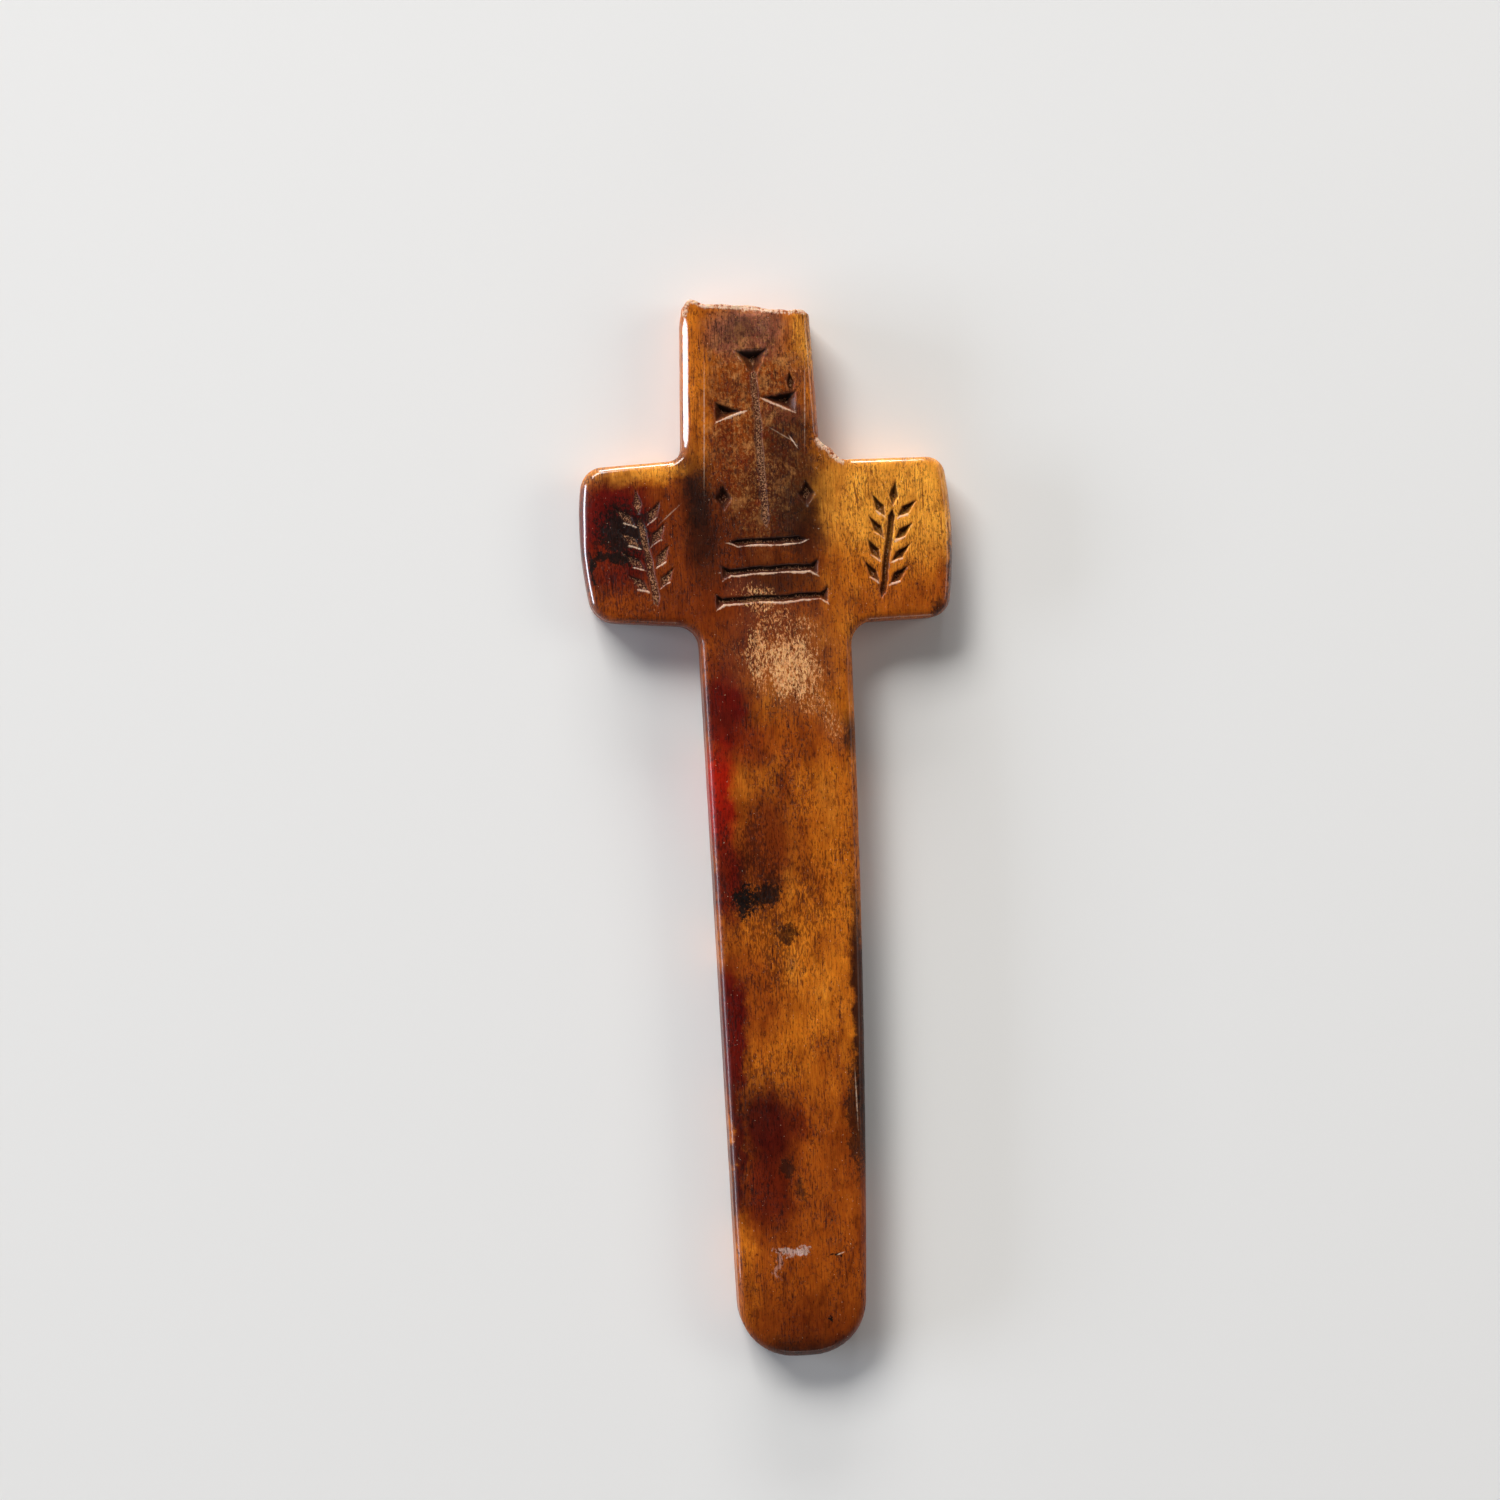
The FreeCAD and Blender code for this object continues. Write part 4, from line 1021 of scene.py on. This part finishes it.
# %% A tree that scatters grains where a mask says so
def grain_tree(finish):
    """Geometry nodes that put grains on the faces that carry the dirt mask."""
    tree = bpy.data.node_groups.new("grains_in_cuts", "GeometryNodeTree")
    for name, kind, way in (
        ("Geometry", "Geometry", "INPUT"),
        ("Grain size", "Float", "INPUT"),
        ("Grains per square metre", "Float", "INPUT"),
        ("Seed", "Int", "INPUT"),
        ("Geometry", "Geometry", "OUTPUT"),
    ):
        tree.interface.new_socket(name, in_out=way, socket_type="NodeSocket" + kind)

    def add(kind, links=(), **settings):
        node = tree.nodes.new(kind)
        for name, value in settings.items():
            setattr(node, name, value)
        for socket, source in links:
            if isinstance(source, bpy.types.NodeSocket):
                tree.links.new(source, node.inputs[socket])
            else:
                node.inputs[socket].default_value = source
        return node.outputs

    given = add("NodeGroupInput")
    dirt = add("GeometryNodeInputNamedAttribute", [("Name", "dirt")], data_type="FLOAT")[0]
    amount = add("ShaderNodeMath", [(0, dirt), (1, given[2])], operation="MULTIPLY")[0]
    spots = add(
        "GeometryNodeDistributePointsOnFaces",
        [("Mesh", given[0]), ("Density", amount), ("Seed", given[3])], distribute_method="RANDOM",
    )
    stone = add("GeometryNodeMeshIcoSphere", [("Radius", 1.0), ("Subdivisions", 1)])[0]
    turn, size = (
        add(
            "FunctionNodeRandomValue", [(0, least), (1, most), ("Seed", given[3])],
            data_type="FLOAT_VECTOR",
        )[0]
        for least, most in (((0, 0, 0), (6.28, 6.28, 6.28)), ((0.35, 0.35, 0.3), (1.0, 0.9, 0.7)))
    )
    real = add("ShaderNodeVectorMath", [(0, size), (3, given[1])], operation="SCALE")[0]
    stones = add(
        "GeometryNodeInstanceOnPoints",
        [("Points", spots[0]), ("Instance", stone), ("Rotation", turn), ("Scale", real)],
    )[0]
    solid = add("GeometryNodeRealizeInstances", [("Geometry", stones)])[0]
    dressed = add("GeometryNodeSetMaterial", [("Geometry", solid), ("Material", finish)])[0]
    add("NodeGroupOutput", [(0, dressed)])
    return tree


# %% Scatter the grains and make them a plain mesh
def dirt_finish():
    """Dry grey-brown grit."""
    grit = Finish("grit")
    tone = grit.ramp(grit.waves(0.12, 2.0, (1, 1, 1), 4.0, 0.7), 0.35, 0.65)
    grit.surface({"Base Color": grit.mix(DARK_BROWN, GREY_DIRT, tone), "Roughness": 0.9})
    return grit.material


def scattered(carrier, name, values):
    """What the grain tree makes on a carrier, as a plain mesh object."""
    tree = grain_tree(dirt_finish())
    holder = added(name, carrier.data)
    modifier = holder.modifiers.new("grains", "NODES")
    modifier.node_group = tree
    for item in tree.interface.items_tree:
        if item.in_out == "INPUT" and item.name in values:
            modifier[item.identifier] = values[item.name]
    shaped = holder.evaluated_get(bpy.context.evaluated_depsgraph_get())
    mesh = bpy.data.meshes.new_from_object(shaped)
    bpy.data.objects.remove(holder)
    return added(name, mesh)


grains = scattered(
    bone, "grit_in_cuts",
    {"Grain size": 0.045 * MM, "Grains per square metre": 60e6, "Seed": 5},
)
print("grit:", len(grains.data.polygons), "faces")

# %% [markdown]
# ## Table, light and camera
# The cross can't stand on its round foot, so it lies on its back on a pale table and the
# camera looks down on it. The key lamp stands high, to the left beyond the head, and
# fills the cuts with shadow on one side. A low lamp beyond the head draws the bright line
# along the upper rims, and a cooler one at the left lights the pared edge. Two weak ones
# lift the shadows. The world is dark overhead, so that the dark bone doesn't look hazy.

# %% The table
def pale_table():
    """A plain pale floor under the cross."""
    reach = 1.5
    ways = ((-1, -1), (1, -1), (1, 1), (-1, 1))
    mesh = bpy.data.meshes.new("table")
    mesh.from_pydata([(x * reach, y * reach, 0) for x, y in ways], [], [(0, 1, 2, 3)])
    paper = Finish("pale_paper")
    paper.surface({"Base Color": (0.80, 0.80, 0.79, 1), "Roughness": 0.9})
    mesh.materials.append(paper.material)
    return added("table", mesh)


table = pale_table()

# %% Lamps, and the world around
def lamp(name, place, size, power, colour, target=(0, 0.004, 0)):
    """A soft lamp at a place in metres, turned to the cross."""
    light = bpy.data.lights.new(name, "AREA")
    light.shape = "RECTANGLE"
    light.size, light.size_y = size
    light.energy = power
    light.color = colour
    holder = added(name, light)
    holder.location = place
    holder.rotation_euler = (Vector(target) - Vector(place)).to_track_quat("-Z", "Y").to_euler()


lamp("key", (-0.48, 0.90, 0.72), (0.66, 0.48), 14.6, (1.0, 0.98, 0.95))
lamp("beyond_the_head", (-0.05, 1.17, 0.30), (0.62, 0.24), 7.6, (1.0, 0.98, 0.97))
lamp("cool_side", (-1.17, 0.05, 0.30), (0.70, 0.24), 8.5, (0.80, 0.87, 1.0))
lamp("warm_fill", (0.90, 0.15, 0.66), (0.60, 0.45), 2.2, (1.0, 0.93, 0.85))
lamp("before_the_foot", (0.15, -1.2, 0.25), (0.60, 0.20), 1.5, (1.0, 0.93, 0.88))
world = bpy.data.worlds.new("studio")
bpy.context.scene.world = world
world.use_nodes = True
nodes, links = world.node_tree.nodes, world.node_tree.links
parts = nodes.new("ShaderNodeSeparateXYZ")
walls = nodes.new("ShaderNodeMapRange")
for name, value in (("From Max", 0.9), ("To Min", 0.30), ("To Max", 0.05)):
    walls.inputs[name].default_value = value
links.new(nodes.new("ShaderNodeTexCoord").outputs["Generated"], parts.inputs[0])
links.new(parts.outputs["Z"], walls.inputs[0])
links.new(walls.outputs[0], nodes["Background"].inputs["Strength"])
nodes["Background"].inputs["Color"].default_value = (0.9, 0.93, 1.0, 1)
bpy.context.scene.view_settings.view_transform = "Standard"

# %% The camera, at the height and turn that frame the cross
VIEW_MIDDLE = (-1.49, 4.37)
VIEW_SPAN = 84.49
VIEW_TURN = math.radians(2.30)
VIEW_TILT = math.radians(4.0)
LENS = 100.0
SENSOR = 36.0
camera = added("camera", bpy.data.cameras.new("camera"))
camera.data.lens = LENS
camera.data.sensor_width = SENSOR
target = Vector((*VIEW_MIDDLE, THICKNESS)) * MM
away = VIEW_SPAN * MM * LENS / SENSOR
sight = Vector((math.sin(VIEW_TILT), 0, -math.cos(VIEW_TILT)))
up = Vector((math.sin(VIEW_TURN), math.cos(VIEW_TURN), 0))
across = sight.cross(up).normalized()
up = across.cross(sight)
camera.location = target - sight * away
camera.rotation_mode = "QUATERNION"
camera.rotation_quaternion = Matrix((across, up, -sight)).transposed().to_quaternion()
camera.data.clip_start = 0.01
bpy.context.scene.camera = camera
print("camera", round(away / MM), "mm away")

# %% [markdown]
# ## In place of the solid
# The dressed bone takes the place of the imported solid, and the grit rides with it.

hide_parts("bone_cross")
for piece in (bone, grains):
    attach(piece, "root")
